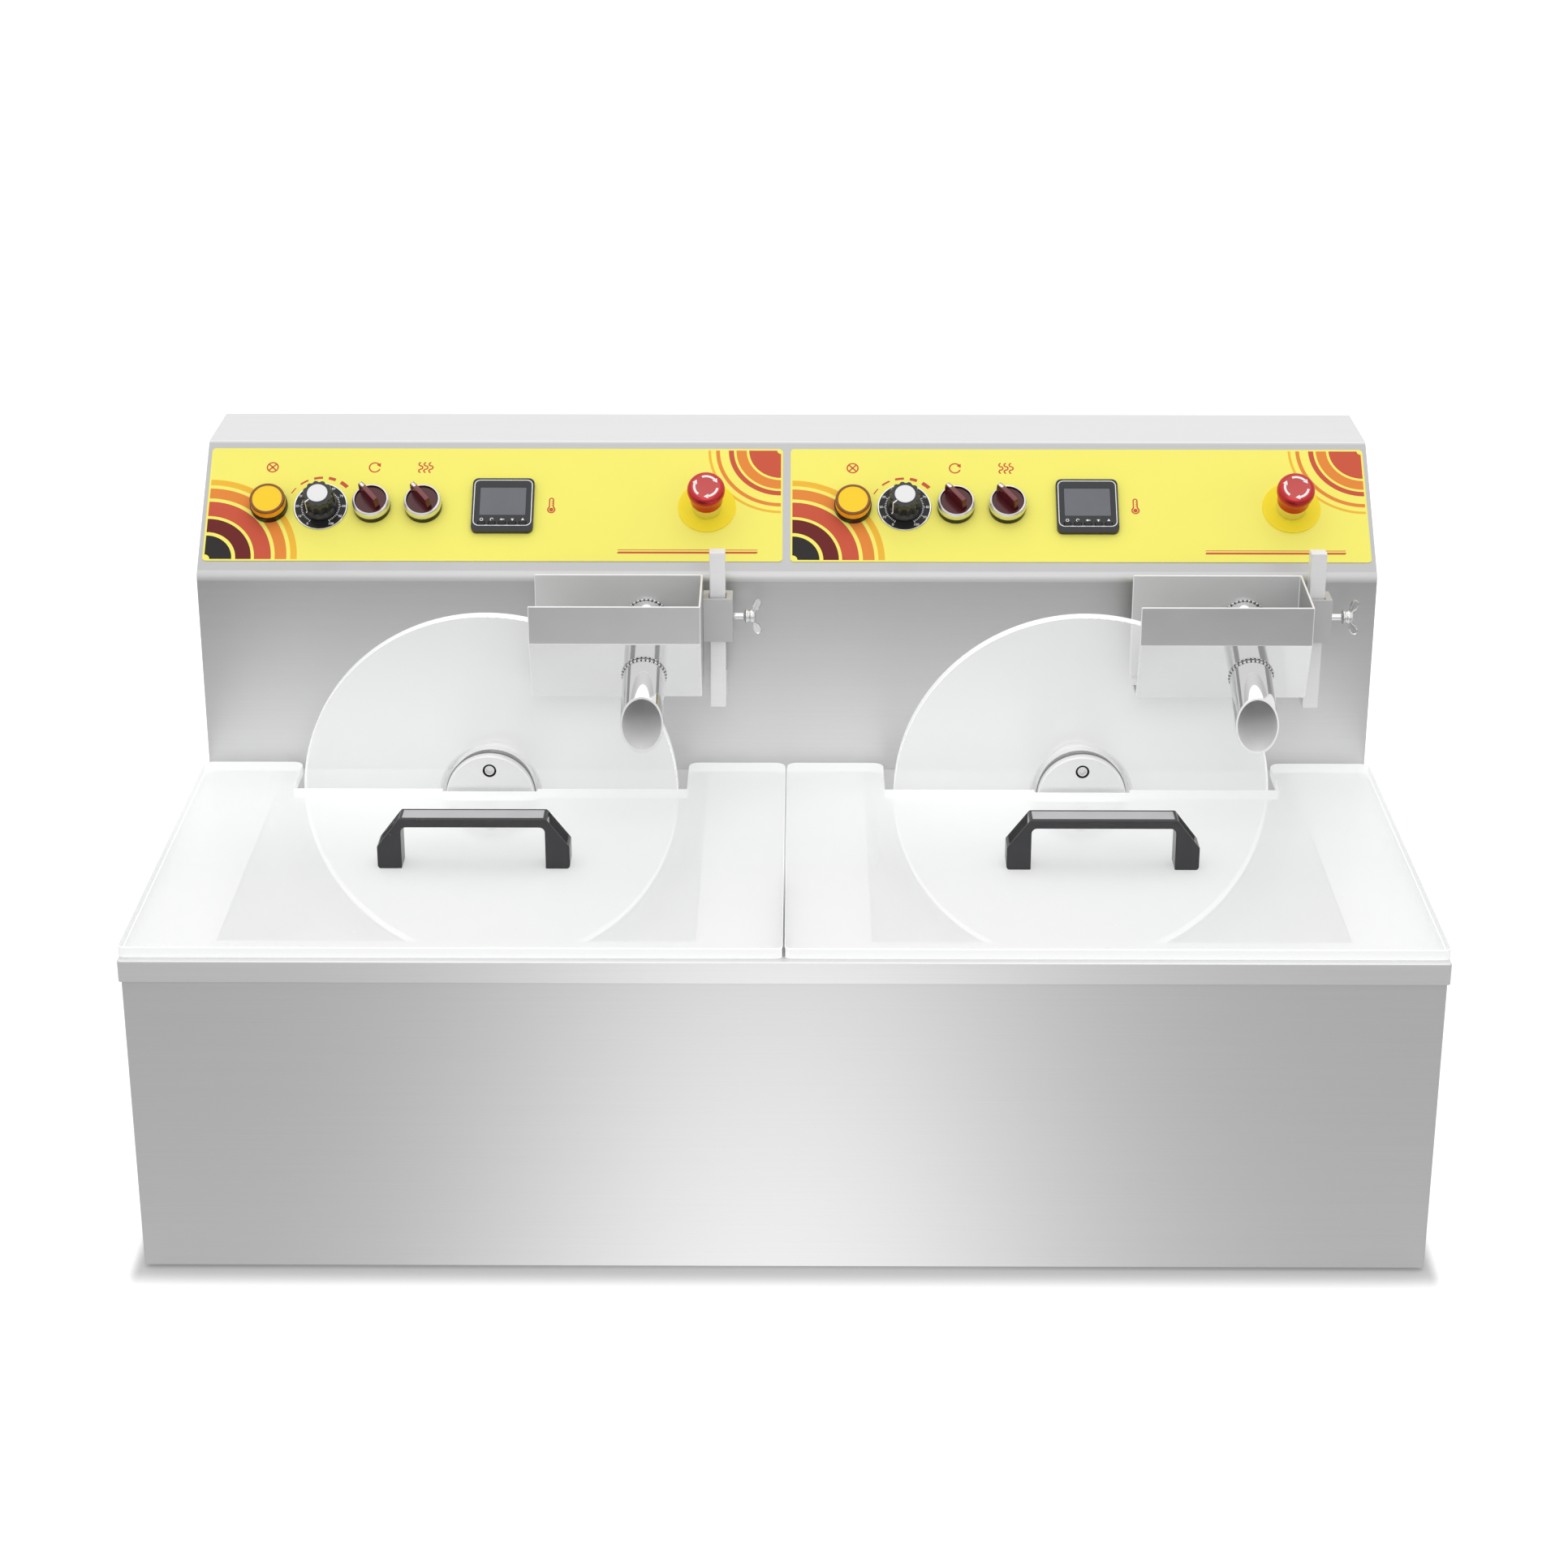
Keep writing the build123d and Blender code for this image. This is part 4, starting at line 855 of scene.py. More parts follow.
for name in both("left_lid_handle"):
    handle = own_copy(name)
    handle_top = max(point.co.z for point in handle.data.vertices)
    tray_floor = handle_top - tray_depth * mm
    round_edges(handle, 0.7, 3)
    start_editing(handle)
    pick(handle, lambda face: face.normal.z > level and middle(face).z > handle_top - 0.1 * mm)
    bpy.ops.mesh.inset(thickness=tray_rim * mm)
    bpy.ops.mesh.inset(thickness=tray_draft * mm)
    bpy.ops.transform.translate(value=(0, 0, -tray_depth * mm))
    stop_editing()
    keep_flat(handle)
    paint(handle, "handle_plastic")
    # Painted sheen on the tray's floor.
    paint(handle, "handle_bar", lambda face: at_height(face, tray_floor, 0.05))
    handle.visible_glossy = False
    stands_for(handle, name)
print("handle faces", len(handle.data.polygons))

# %% [markdown]
# Knobs, lamps and screws are turned pieces. One helper makes them the way a turner would: it draws a
# circle, then pulls it up and resizes it from ring to ring. Sizes are in millimetres, as on a drawing,
# with the height measured out from the sheet that the piece sits on.

# %% Turning


def turned(name, profile, sides=64, ring=False):
    """A solid round local Z through (radius, height) circles. A ring's last one meets its first."""
    radius, height = profile[0]
    base = {"vertices": sides, "radius": radius * mm, "location": (0, 0, height * mm)}
    piece = add_piece(name, bpy.ops.mesh.primitive_circle_add, **base)
    bpy.ops.object.transform_apply()
    start_editing(piece)
    bpy.ops.mesh.select_mode(type="EDGE")
    bpy.ops.mesh.select_all(action="SELECT")
    for next_radius, next_height in profile[1:]:
        lift = (0, 0, (next_height - height) * mm)
        bpy.ops.mesh.extrude_region_move(TRANSFORM_OT_translate={"value": lift})
        grow = next_radius / radius
        bpy.ops.transform.resize(value=(grow, grow, 1), center_override=(0, 0, next_height * mm))
        radius, height = next_radius, next_height
    if not ring:
        bpy.ops.mesh.edge_face_add()
    bpy.ops.mesh.select_all(action="DESELECT")
    bpy.ops.mesh.select_non_manifold()
    if ring:
        bpy.ops.mesh.bridge_edge_loops()
    else:
        bpy.ops.mesh.edge_face_add()
    bpy.ops.mesh.select_all(action="SELECT")
    bpy.ops.mesh.normals_make_consistent(inside=False)
    stop_editing()
    return piece


def turned_smooth(name, profile, finish, sides=64, ring=False):
    """A turned piece with smooth shading and one finish."""
    piece = turned(name, profile, sides, ring)
    smooth(piece)
    paint(piece, finish)
    return piece


def top_within(face, radius):
    """True for a face on top of a turned piece, within a radius in mm of its axis."""
    return face.normal.z > broad and face.center.xy.length < radius * mm


def raised_by(rise, profile):
    """The rings of a profile, all at a greater height."""
    return [(radius, height + rise) for radius, height in profile]


def block(name, low, high):
    """A block between two corners, in millimetres."""
    piece = add_piece(name, bpy.ops.mesh.primitive_cube_add, size=1)
    low, high = Vector(low) * mm, Vector(high) * mm
    apply_place(piece, Matrix.Translation((low + high) / 2) @ Matrix.Diagonal((*(high - low), 1)))
    return piece


def joined(name, pieces):
    """Several pieces made one mesh."""
    hold(pieces[0])
    for piece in pieces:
        piece.select_set(True)
    if len(pieces) > 1:
        bpy.ops.object.join()
    return fresh(name)


# %% [markdown]
# The controls sit on the sloped panel. A knob's joint already says where the panel is and which way it
# looks, so the panel's own axes come from there: across, up the slope, and out of the sheet.

# %% Panel axes and twins
panel_out = -Vector(joint_named["left_speed_turn"]["axis"])
panel_across = Vector((1, 0, 0))
panel_up = panel_out.cross(panel_across)
panel_place = Vector(joint_named["left_speed_turn"]["pos_m"])
overlay_thickness = 0.5


def on_panel(x, turn=0.0):
    """The place of a device at x on the panel, turned by degrees as seen from the front."""
    axes = Matrix((panel_across, panel_up, panel_out)).transposed().to_4x4()
    axes.translation = (x, panel_place.y, panel_place.z)
    return axes @ turn_about("Z", turn)


def settle(piece, place, body, slot, *nodes):
    """Put a piece in place, copy it to the other unit, and let both ride and stand for their solids."""
    apply_place(piece, place)
    bpy.ops.object.duplicate()
    twin = fresh(piece.name.replace("left", "right"))
    apply_place(twin, Matrix.Translation((unit_pitch, 0, 0)))
    for one, side in ((piece, "left"), (twin, "right")):
        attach(one, body.replace("left", side))
        if nodes:
            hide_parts(*(node.replace("left", side) for node in nodes))


def joint_x(name):
    """Where along the machine a joint is."""
    return joint_named[name]["pos_m"][0]


unit_x = joint_x("left_wheel_spin")
speed_x = joint_x("left_speed_turn")
motor_x = joint_x("left_motor_switch_turn")
heat_x = joint_x("left_heat_switch_turn")
stop_x = joint_x("left_stop_release")
pilot_x = speed_x - (motor_x - speed_x)
key_low, key_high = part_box("left_controller_key_3")
controller_x = (key_low.x + key_high.x) / 2
print("panel looks", [round(value, 3) for value in panel_out], "pilot at", round(pilot_x, 4))

# %% [markdown]
# The hub clamps the wheel between two flanges. Its two socket screws sit in bores that are wider than
# their heads, and the bores are a painted shade, so a dark ring shows round each head. The plate's round
# sides get a painted highlight, and a thin grey ring in front of the wheel, round the plate, is a
# painted shadow line. A head is a turned piece with a hexagon taken out of it by a Boolean.

# %% Hub
axle_place = Vector(joint_named["left_wheel_spin"]["pos_m"])
plate_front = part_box("left_hub_plate")[0].y
screw_circle = 22
bore_radius = 5.2
bore_depth = 6
plate_thickness = 8
head_profile = [(3.85, 0.4), (3.85, 5.5), (3.5, 5.85), (2.0, 5.85)]
shadow_ring_profile = [(33.5, 0.0), (34.6, 0.0), (34.6, 0.6), (33.5, 0.6)]


def in_screw_bore(place):
    """True inside one of the hub's two screw bores."""
    from_middle = abs(abs(place.x) + axle_place.x)
    from_circle = abs(abs(place.z - axle_place.z) - screw_circle * mm)
    return math.hypot(from_middle, from_circle) < bore_radius * mm and place.y > plate_front + 0.05 * mm


def on_hub(depth, rise=0):
    """A place on the wheel's axis behind the hub's front, or higher by a rise, looking forward."""
    place = Vector((axle_place.x, plate_front + depth * mm, axle_place.z + rise * mm))
    return Matrix.Translation(place) @ turn_about("X", 90)


for name in both("left_hub_plate"):
    plate = dress(name, "turned_steel", 0.35)
    # Painted highlight on the plate's round sides.
    paint(plate, "bright_edge", lambda face: abs(face.normal.y) < broad)
    # Painted shade in the screw bores.
    paint(plate, "dark_bore", lambda face: in_screw_bore(face.center))
socket_heads = []
for rise in (screw_circle, -screw_circle):
    socket_head = turned("hub_screw_head", head_profile, 48)
    hexagon = turned("hexagon", [(2.9, 3.0), (2.9, 7.0)], 6)
    apply_modifier(socket_head, "BOOLEAN", operation="DIFFERENCE", object=hexagon)
    bpy.data.objects.remove(hexagon)
    apply_place(socket_head, on_hub(bore_depth, rise))
    socket_heads.append(socket_head)
hub_screws = joined("left_hub_screw_heads", socket_heads)
smooth(hub_screws)
paint(hub_screws, "polished_steel")
settle(hub_screws, Matrix.Identity(4), "left_wheel", "bright_steel", "left_hub_screws")
# A thin grey ring as a painted shadow line round the plate.
shadow_ring = turned_smooth("left_hub_gasket", shadow_ring_profile, "grey_gasket", 96, ring=True)
settle(shadow_ring, on_hub(plate_thickness), "left_wheel", "black_rubber")
print("hub at", [round(value, 4) for value in axle_place])

# %% [markdown]
# The pilot light's lens is a cup of clear orange plastic: a bright wall, a darker rounded rim, and a
# yellow disc sunk in its face. Each of the three has a finish of its own.

# %% Pilot light
collar_top = overlay_thickness + 5.5
lens_height = 7.6
lens_top = collar_top + lens_height
face_radius = 11.4
lens_profile = [(13.5, 0.0), (13.8, 0.4), (13.8, 6.2), (13.6, 7.0), (13.2, 7.45), (12.7, 7.6)]
lens_profile += [(11.8, 7.55), (11.5, 7.1), (10.8, 7.1), (1.0, 7.25)]
lens = turned_smooth("left_pilot_lens", raised_by(collar_top, lens_profile), "amber_wall", 72)
paint(lens, "amber_rim", lambda face: face.center.z > (lens_top - 1.3) * mm)
paint(lens, "amber_face", lambda face: top_within(face, face_radius))
settle(lens, on_panel(pilot_x), "machine", "amber_lens", "pilot_lenses")
print("lens faces", len(lens.data.polygons))

# %% [markdown]
# The speed knob is the classic fluted one: a skirt, a body with twelve hollows for the fingers, and a
# bright flat cap. The hollows are made by picking a few columns of points and drawing them in towards
# the axis, all twelve at once. A white line down one rib shows where the knob points.

# %% Speed knob
knob_floor = overlay_thickness + 1.5
flutes = 12
columns = 8
pointer_angle = 220
knob_profile = [(13.5, 0.0), (13.5, 0.8), (12.9, 3.4), (12.2, 4.0), (12.0, 4.6), (12.0, 9.0)]
knob_profile += [(12.0, 13.4), (12.0, 17.6), (11.6, 18.3), (8.6, 18.5)]
cap_profile = [(8.0, 18.4), (8.0, 19.2), (7.7, 19.5), (6.0, 19.5), (0.5, 19.5)]
pointer_blocks = (
    ("pointer_top", (8.1, -0.5, 18.3), (11.7, 0.5, 18.58)),
    ("pointer_side", (11.6, -0.5, 4.0), (12.15, 0.5, 18.4)),
    ("pointer_skirt", (12.0, -0.5, 3.4), (13.1, 0.5, 4.1)),
)


def flute_column(point, reach):
    """True for points within some columns of a flute's middle, on the knob's body."""
    angle = (math.degrees(math.atan2(point.co.y, point.co.x)) - pointer_angle) % (360 / flutes)
    from_flute = abs(angle - 180 / flutes)
    on_body = knob_floor + 4.3 < point.co.z / mm < knob_floor + 18.4 and point.co.xy.length > 10 * mm
    return on_body and from_flute < (reach + 0.5) * 360 / (flutes * columns)


knob = turned("left_speed_knob_body", raised_by(knob_floor, knob_profile), flutes * columns)
start_editing(knob)
for reach, draw_in in ((2, 0.955), (1, 0.955), (0, 0.98)):
    pick(knob, lambda point: flute_column(point, reach), "VERT")
    bpy.ops.transform.resize(value=(draw_in, draw_in, 1), center_override=(0, 0, 0))
stop_editing()
smooth(knob, 38)
paint(knob, "knob_plastic")
cap = turned_smooth("left_knob_cap", raised_by(knob_floor, cap_profile), "cap_steel")
pointer = joined("left_knob_pointer", [block(*values) for values in pointer_blocks])
soften(pointer, 0.1)
paint(pointer, "white_mark")
apply_place(pointer, Matrix.Translation((0, 0, knob_floor * mm)) @ turn_about("Z", pointer_angle))
settle(knob, on_panel(speed_x), "left_speed_knob", "black_plastic", "left_speed_knob")
settle(cap, on_panel(speed_x), "left_speed_knob", "bright_steel")
settle(pointer, on_panel(speed_x), "left_speed_knob", "black_plastic")
print("knob faces", len(knob.data.polygons))

# %% [markdown]
# Print is made as very thin plates that lie on the surface: bars, arcs, discs and frames, drawn flat in
# millimetres, joined, and given their thickness by a Solidify.

# %% Flat print
print_thickness = 0.04


def flat_bar(x_low, x_high, y_low, y_high, slant=0.0):
    """A flat bar in the local XY plane, its upper edge moved along X by the slant."""
    piece = add_piece("flat_bar", bpy.ops.mesh.primitive_plane_add, size=1)
    place = Matrix.Translation(Vector((x_low + x_high, y_low + y_high, 0)) * mm / 2)
    apply_place(piece, place @ Matrix.Diagonal(((x_high - x_low) * mm, (y_high - y_low) * mm, 1, 1)))
    start_editing(piece)
    pick(piece, lambda point: point.co.y > (y_low + y_high) * mm / 2, "VERT")
    bpy.ops.transform.translate(value=(slant * mm, 0, 0))
    stop_editing()
    return piece


def angle_between(place, start, end):
    """True where a point's angle lies between two angles in degrees."""
    angle = math.degrees(math.atan2(place.y, place.x))
    return (angle - start) % 360 <= (end - start)


def flat_arc(radius, width, start, end, sides=72):
    """A flat arc round the local origin, between two angles in degrees."""
    inside, outside = radius - width / 2, radius + width / 2
    piece = add_piece("flat_arc", bpy.ops.mesh.primitive_circle_add, vertices=sides, radius=inside * mm)
    start_editing(piece)
    bpy.ops.mesh.select_mode(type="EDGE")
    bpy.ops.mesh.select_all(action="SELECT")
    bpy.ops.mesh.extrude_region_move(TRANSFORM_OT_translate={"value": (0, 0, 0)})
    grow = outside / inside
    bpy.ops.transform.resize(value=(grow, grow, 1), center_override=(0, 0, 0))
    pick(piece, lambda face: not angle_between(middle(face), start, end))
    bpy.ops.mesh.delete(type="FACE")
    stop_editing()
    return piece


def flat_disc(radius, sides=32):
    """A flat disc, or with three sides a triangle that points along X."""
    filled = {"vertices": sides, "radius": radius * mm, "fill_type": "NGON"}
    piece = add_piece("flat_disc", bpy.ops.mesh.primitive_circle_add, **filled)
    apply_place(piece, turn_about("Z", -90))
    return piece


def flat_frame(width, height, corner, line):
    """The outline of a rectangle with round corners."""
    piece = flat_bar(-width / 2, width / 2, -height / 2, height / 2)
    start_editing(piece)
    bpy.ops.mesh.select_all(action="SELECT")
    bpy.ops.mesh.bevel(offset=corner * mm, segments=6, affect="VERTICES")
    bpy.ops.mesh.select_all(action="SELECT")
    bpy.ops.mesh.inset(thickness=line * mm)
    bpy.ops.mesh.delete(type="FACE")
    stop_editing()
    return piece


def moved(piece, x, y, turn=0.0):
    """Turn a flat piece by degrees, then move it in its plane."""
    apply_place(piece, Matrix.Translation((x * mm, y * mm, 0)) @ turn_about("Z", turn))
    return piece


def printed(name, flats, finish, place, height, body, slot, thickness=print_thickness):
    """Join flat pieces into one print with a thickness, and settle it at a height on the panel."""
    piece = joined(name, flats)
    start_editing(piece)
    pick(piece, lambda face: face.normal.z < 0)
    bpy.ops.mesh.flip_normals()
    stop_editing()
    apply_modifier(piece, "SOLIDIFY", thickness=thickness * mm, offset=1)
    paint(piece, finish)
    settle(piece, place @ Matrix.Translation((0, 0, height * mm)), body, slot)
    print(name, len(piece.data.polygons), "faces")


# %% [markdown]
# Under the knob lies a black dial plate with a bright rim. Its scale runs three quarters round and
# more: zero at the lower left, a hundred at the lower right, with a tick for every second step and a
# longer one for every tenth. The numbers are texts turned into meshes.

# %% Dial
dial_top = overlay_thickness + 1.0
scale_start = 240
degrees_per_step = 3
tick_start = 14.1
tick_half_width = 0.26
number_radius = 18.2
number_size = 2.9
number_weight = 0.06
rim_profile = [(19.9, 1.4), (19.9, 1.7), (20.3, 1.85), (20.7, 1.8), (20.95, 1.5), (20.95, 0.55)]
rim_profile += [(20.5, 0.55)]
scale_parts = []
for step in range(0, 101, 2):
    tick_end = 16.2 if step % 10 == 0 else 15.3
    tick = flat_bar(tick_start, tick_end, -tick_half_width, tick_half_width)
    scale_parts.append(moved(tick, 0, 0, scale_start - degrees_per_step * step))
for number in range(0, 101, 10):
    bpy.ops.object.text_add()
    text = bpy.context.object
    text.data.body = str(number)
    text.data.size = number_size * mm
    text.data.offset = number_weight * mm
    text.data.align_x = "CENTER"
    text.data.align_y = "CENTER"
    text.data.resolution_u = 2
    bpy.ops.object.convert(target="MESH")
    angle = math.radians(scale_start - degrees_per_step * number)
    number_place = (number_radius * math.cos(angle), number_radius * math.sin(angle))
    scale_parts.append(moved(bpy.context.object, *number_place))
on_dial = on_panel(speed_x)
printed("left_dial_scale", scale_parts, "white_mark", on_dial, dial_top, "machine", "black_plastic")
dial_rim = turned_smooth("left_dial_rim", rim_profile, "polished_steel", 96, ring=True)
settle(dial_rim, on_dial, "machine", "bright_steel")

# %% [markdown]
# Each selector switch has a satin bezel with a round shoulder, and in it a dark red, half clear knob
# with a fin to grip. The fin starts as a block. Bisect cuts it where its front slope begins, its top is
# drawn in, the front end is lowered, and the back end is leaned forward. A white mark lies on the front
# slope.

# %% Selector fin
fin_front = 11.8
fin_back = -10.3
fin_top = 23.0
fin_bend = 6.5
fin_drop = 1.2
fin_back_lean = 1.8
mark_middle = 9.1


def selector_fin():
    """The fin of a selector, pointing along local Y."""
    fin = block("selector_fin", (-2.1, fin_back, 10.0), (2.1, fin_front, fin_top))
    start_editing(fin)
    bpy.ops.mesh.select_all(action="SELECT")
    bpy.ops.mesh.bisect(plane_co=(0, fin_bend * mm, 0), plane_no=(0, 1, 0))
    ridge = (fin_top - 1) * mm
    pick(fin, lambda point: point.co.z > ridge, "VERT")
    bpy.ops.transform.resize(value=(0.88, 1, 1), center_override=(0, 0, 0))
    pick(fin, lambda point: point.co.z > ridge and point.co.y > (fin_front - 0.8) * mm, "VERT")
    bpy.ops.transform.translate(value=(0, 0, -fin_drop * mm))
    pick(fin, lambda point: point.co.z > ridge and point.co.y < (fin_back + 0.3) * mm, "VERT")
    bpy.ops.transform.translate(value=(0, fin_back_lean * mm, 0))
    stop_editing()
    soften(fin, 0.3, 3)
    return fin


def fin_mark(name):
    """The white pill on the fin's front slope."""
    mark = block(name, (-1.15, -2.3, -0.3), (1.15, 2.3, 0.2))
    start_editing(mark)
    pick(mark, lambda edge: abs(edge.verts[0].co.z - edge.verts[1].co.z) > 0.1 * mm, "EDGE")
    bpy.ops.mesh.bevel(offset=0.9 * mm, segments=5)
    stop_editing()
    soften(mark, 0.12)
    paint(mark, "white_mark")
    slope = math.atan2(fin_drop, fin_front - fin_bend)
    on_slope = Vector((0, mark_middle, fin_top - math.tan(slope) * (mark_middle - fin_bend))) * mm
    apply_place(mark, Matrix.Translation(on_slope) @ Matrix.Rotation(-slope, 4, "X"))
    return mark


# %% [markdown]
# A Boolean joins fin and knob. Both switches point the same way at rest, turned from upright.

# %% Selector switches
selector_rest = 40
selector_floor = collar_top + 0.3
bezel_profile = [(12.5, 6.0), (14.5, 6.0), (14.5, 9.2), (14.4, 10.4), (14.0, 11.4), (13.4, 12.1)]
bezel_profile += [(12.9, 12.4), (12.5, 12.3)]
selector_profile = [(11.6, 0.0), (12.2, 0.6), (12.2, 4.0), (11.9, 4.4), (11.0, 4.5)]
for kind, place_x in (("motor", motor_x), ("heat", heat_x)):
    bezel = turned_smooth(f"left_{kind}_bezel", bezel_profile, "satin_bezel", 72, ring=True)
    settle(bezel, on_panel(place_x), "machine", "bright_steel", "switch_bezels")
    selector = turned(f"left_{kind}_selector", raised_by(selector_floor, selector_profile), 72)
    fin = selector_fin()
    apply_modifier(selector, "BOOLEAN", operation="UNION", object=fin)
    bpy.data.objects.remove(fin)
    smooth(selector)
    paint(selector, "red_selector")
    # Painted highlight: the fin's top faces are a lighter red.
    paint(selector, "red_ridge", lambda face: face.normal.z > broad and face.center.z > 20 * mm)
    at_rest = on_panel(place_x, selector_rest)
    settle(selector, at_rest, f"left_{kind}_switch", "red_selector", f"left_{kind}_switch_knob")
    settle(fin_mark(f"left_{kind}_mark"), at_rest, f"left_{kind}_switch", "red_selector")
print("selector faces", len(selector.data.polygons))

# %% [markdown]
# The controller is a bought-in box. Its case has softened edges already, so what it needs is on its
# front: a thin silver outline, a grey screen set in its recess, five keys, and a small white sign over
# each key.

# %% Controller
case_front = overlay_thickness + 4.0
on_case = on_panel(controller_x)
outline_rise = 1.6
screen_half = (17.9, 12.4)
screen_rise = 3.2
key_pitch = 8
sign_rise = -13.4
outline = [moved(flat_frame(45.4, 41.5, 4.5, 0.65), 0, outline_rise)]
trim = ("machine", "bright_steel", 0.15)
printed("left_controller_outline", outline, "silver_trim", on_case, case_front, *trim)
screen_low = (-screen_half[0], screen_rise - screen_half[1], -0.75)
screen_high = (screen_half[0], screen_rise + screen_half[1], -0.25)
screen = block("left_controller_screen", screen_low, screen_high)
start_editing(screen)
pick(screen, lambda face: face.normal.z > broad)
bpy.ops.mesh.inset(thickness=0.4 * mm)
bpy.ops.transform.translate(value=(0, 0, -0.12 * mm))
stop_editing()
soften(screen, 0.08)
paint(screen, "grey_screen")
settle(screen, on_case @ Matrix.Translation((0, 0, case_front * mm)), "machine", "black_plastic")
for number in range(1, 6):
    for name in both(f"left_controller_key_{number}"):
        dress(name, "key_plastic", 0.25, 3)
key_signs = [
    moved(flat_arc(1.1, 0.5, 0, 360, 20), -2 * key_pitch, sign_rise),
    moved(flat_arc(1.1, 0.5, 0, 250, 20), -key_pitch, sign_rise),
    moved(flat_bar(-0.2, 1.8, -0.3, 0.3), 0, sign_rise),
    moved(flat_disc(1.2, 3), -0.7, sign_rise, 180),
    moved(flat_disc(1.4, 3), key_pitch, sign_rise, 270),
    moved(flat_disc(1.4, 3), 2 * key_pitch, sign_rise, 90),
]
printed("left_key_signs", key_signs, "white_mark", on_case, case_front, "machine", "black_plastic")

# %% [markdown]
# The stop button is a red mushroom, bright as anodised metal. Its outline runs from the hollow under
# the head, down the inside of the skirt, and up the outside over a fat round rim. Three white arrows on
# top show which way to turn it free. Each arrow is an arc with a triangle at its end.

# %% Stop button
stop_top = 31.9
stop_face_radius = 10.5
arrow_radius = 9.0
arrow_width = 1.8
arrow_sweep = 72
tip_radius = 2.4
stop_profile = [(4.05, 27.9), (4.05, 22.0), (11.8, 22.0), (11.8, 13.0), (12.6, 13.0), (12.6, 20.2)]
stop_profile += [(12.9, 21.4), (13.6, 22.4), (14.3, 23.8), (14.6, 25.6), (14.6, 27.2), (14.3, 28.9)]
stop_profile += [(13.7, 30.2), (12.8, 31.3), (11.8, 31.85), (11.1, 32.0), (10.8, stop_top)]
stop_profile += [(1.0, stop_top)]
head = turned_smooth("left_stop_head", stop_profile, "red_metal", 96)
paint(head, "red_face", lambda face: face.normal.z > 0.95 and top_within(face, stop_face_radius))
on_stop = on_panel(stop_x)
settle(head, on_stop, "left_stop_head", "red_stop", "left_stop_head")
arrows = []
for start in (40, 160, 280):
    arrows.append(flat_arc(arrow_radius, arrow_width, start, start + arrow_sweep))
    tip_angle = math.radians(start - 5)
    tip_place = (arrow_radius * math.cos(tip_angle), arrow_radius * math.sin(tip_angle))
    arrows.append(moved(flat_disc(tip_radius, 3), *tip_place, start - 96))
printed("left_stop_arrows", arrows, "white_mark", on_stop, stop_top, "left_stop_head", "red_stop")

# %% [markdown]
# The wing screw clamps the scraper to its post. It is a threaded rod with a small round hub and two
# wings. The thread is a row of turned ridges, near enough to a real thread at this size. Each wing
# starts as a disc that is extruded to a plate, drawn out to a drop, leaned away from the clamp, and
# inset so that a rim stands up.

# %% Wing screws
thread_start = 181.4
thread_end = 195.4
thread_pitch = 0.9
wing_root = 200
wing_radius = 2.9
wing_thickness = 2.6
wing_reach = 12.1
wing_lean = 27.6
wing_hollow = 0.6
screw_profile = [(2.0, thread_start)]
for turn in range(int((thread_end - thread_start) / thread_pitch)):
    ridge = thread_start + 0.3 + turn * thread_pitch
    screw_profile += [(2.55, ridge), (3.0, ridge + 0.4)]
screw_profile += [(2.9, thread_end), (4.6, thread_end + 0.4), (5.3, 196.6), (5.3, 197.6), (4.6, 198.2)]
screw_profile += [(4.5, 198.8), (5.2, 199.6), (5.4, 201.0), (5.0, 202.6), (4.0, 203.6), (2.0, 204.0)]


def wing(name, turn):
    """One wing along local Y, leaning along local Z, turned by degrees about the screw."""
    plan = {"vertices": 40, "radius": wing_radius * mm, "fill_type": "NGON"}
    piece = add_piece(name, bpy.ops.mesh.primitive_circle_add, **plan)
    start_editing(piece)
    bpy.ops.mesh.select_all(action="SELECT")
    bpy.ops.mesh.extrude_region_move(TRANSFORM_OT_translate={"value": (0, 0, wing_thickness * mm)})
    bpy.ops.mesh.select_all(action="SELECT")
    bpy.ops.mesh.normals_make_consistent(inside=False)
    pick(piece, lambda point: point.co.y < -0.1 * mm, "VERT")
    bpy.ops.transform.resize(value=(1, 3.0, 1), center_override=(0, 0, 0))
    pick(piece, lambda point: point.co.y < -4.0 * mm, "VERT")
    bpy.ops.transform.resize(value=(0.72, 1, 1), center_override=(0, 0, 0))
    for facing in (1, -1):
        pick(piece, lambda face: face.normal.z * facing > broad)
        bpy.ops.mesh.inset(thickness=wing_hollow * mm)
        bpy.ops.transform.translate(value=(0, 0, -wing_hollow * facing * mm))
    stop_editing()
    soften(piece, 0.2, 2)
    stand = turn_about("Y", 90) @ Matrix.Translation((0, 0, -wing_thickness / 2 * mm))
    lean = Matrix.Translation((0, 0, wing_root * mm)) @ turn_about("X", wing_lean)
    reach = lean @ Matrix.Translation((0, wing_reach * mm, 0))
    apply_place(piece, turn_about("Z", turn) @ reach @ stand)
    return piece


rod = turned("wing_screw_rod", screw_profile, 48)
screw = joined("left_wing_screw_piece", [rod, wing("upper_wing", 0), wing("lower_wing", 180)])
smooth(screw, 35)
paint(screw, "polished_steel")
screw_y, screw_z = joint_named["left_wing_screw_turn"]["pos_m"][1:]
along_x_axes = Matrix(((0, 0, 1, unit_x), (1, 0, 0, screw_y), (0, 1, 0, screw_z), (0, 0, 0, 1)))
settle(screw, along_x_axes, "left_wing_screw", "bright_steel", "left_wing_screw")
print("wing screw faces", len(screw.data.polygons))

# %% [markdown]
# The spout is welded in twice: where it comes out of the sloping front, and to the back wall of the
# box. A weld is a rope of small round beads. A torus gives the rope. Fattening its rings, the more the
# nearer they are to the middle of a bead, makes the beads, and the valleys between them stay thin and
# are painted dark, a painted shade.

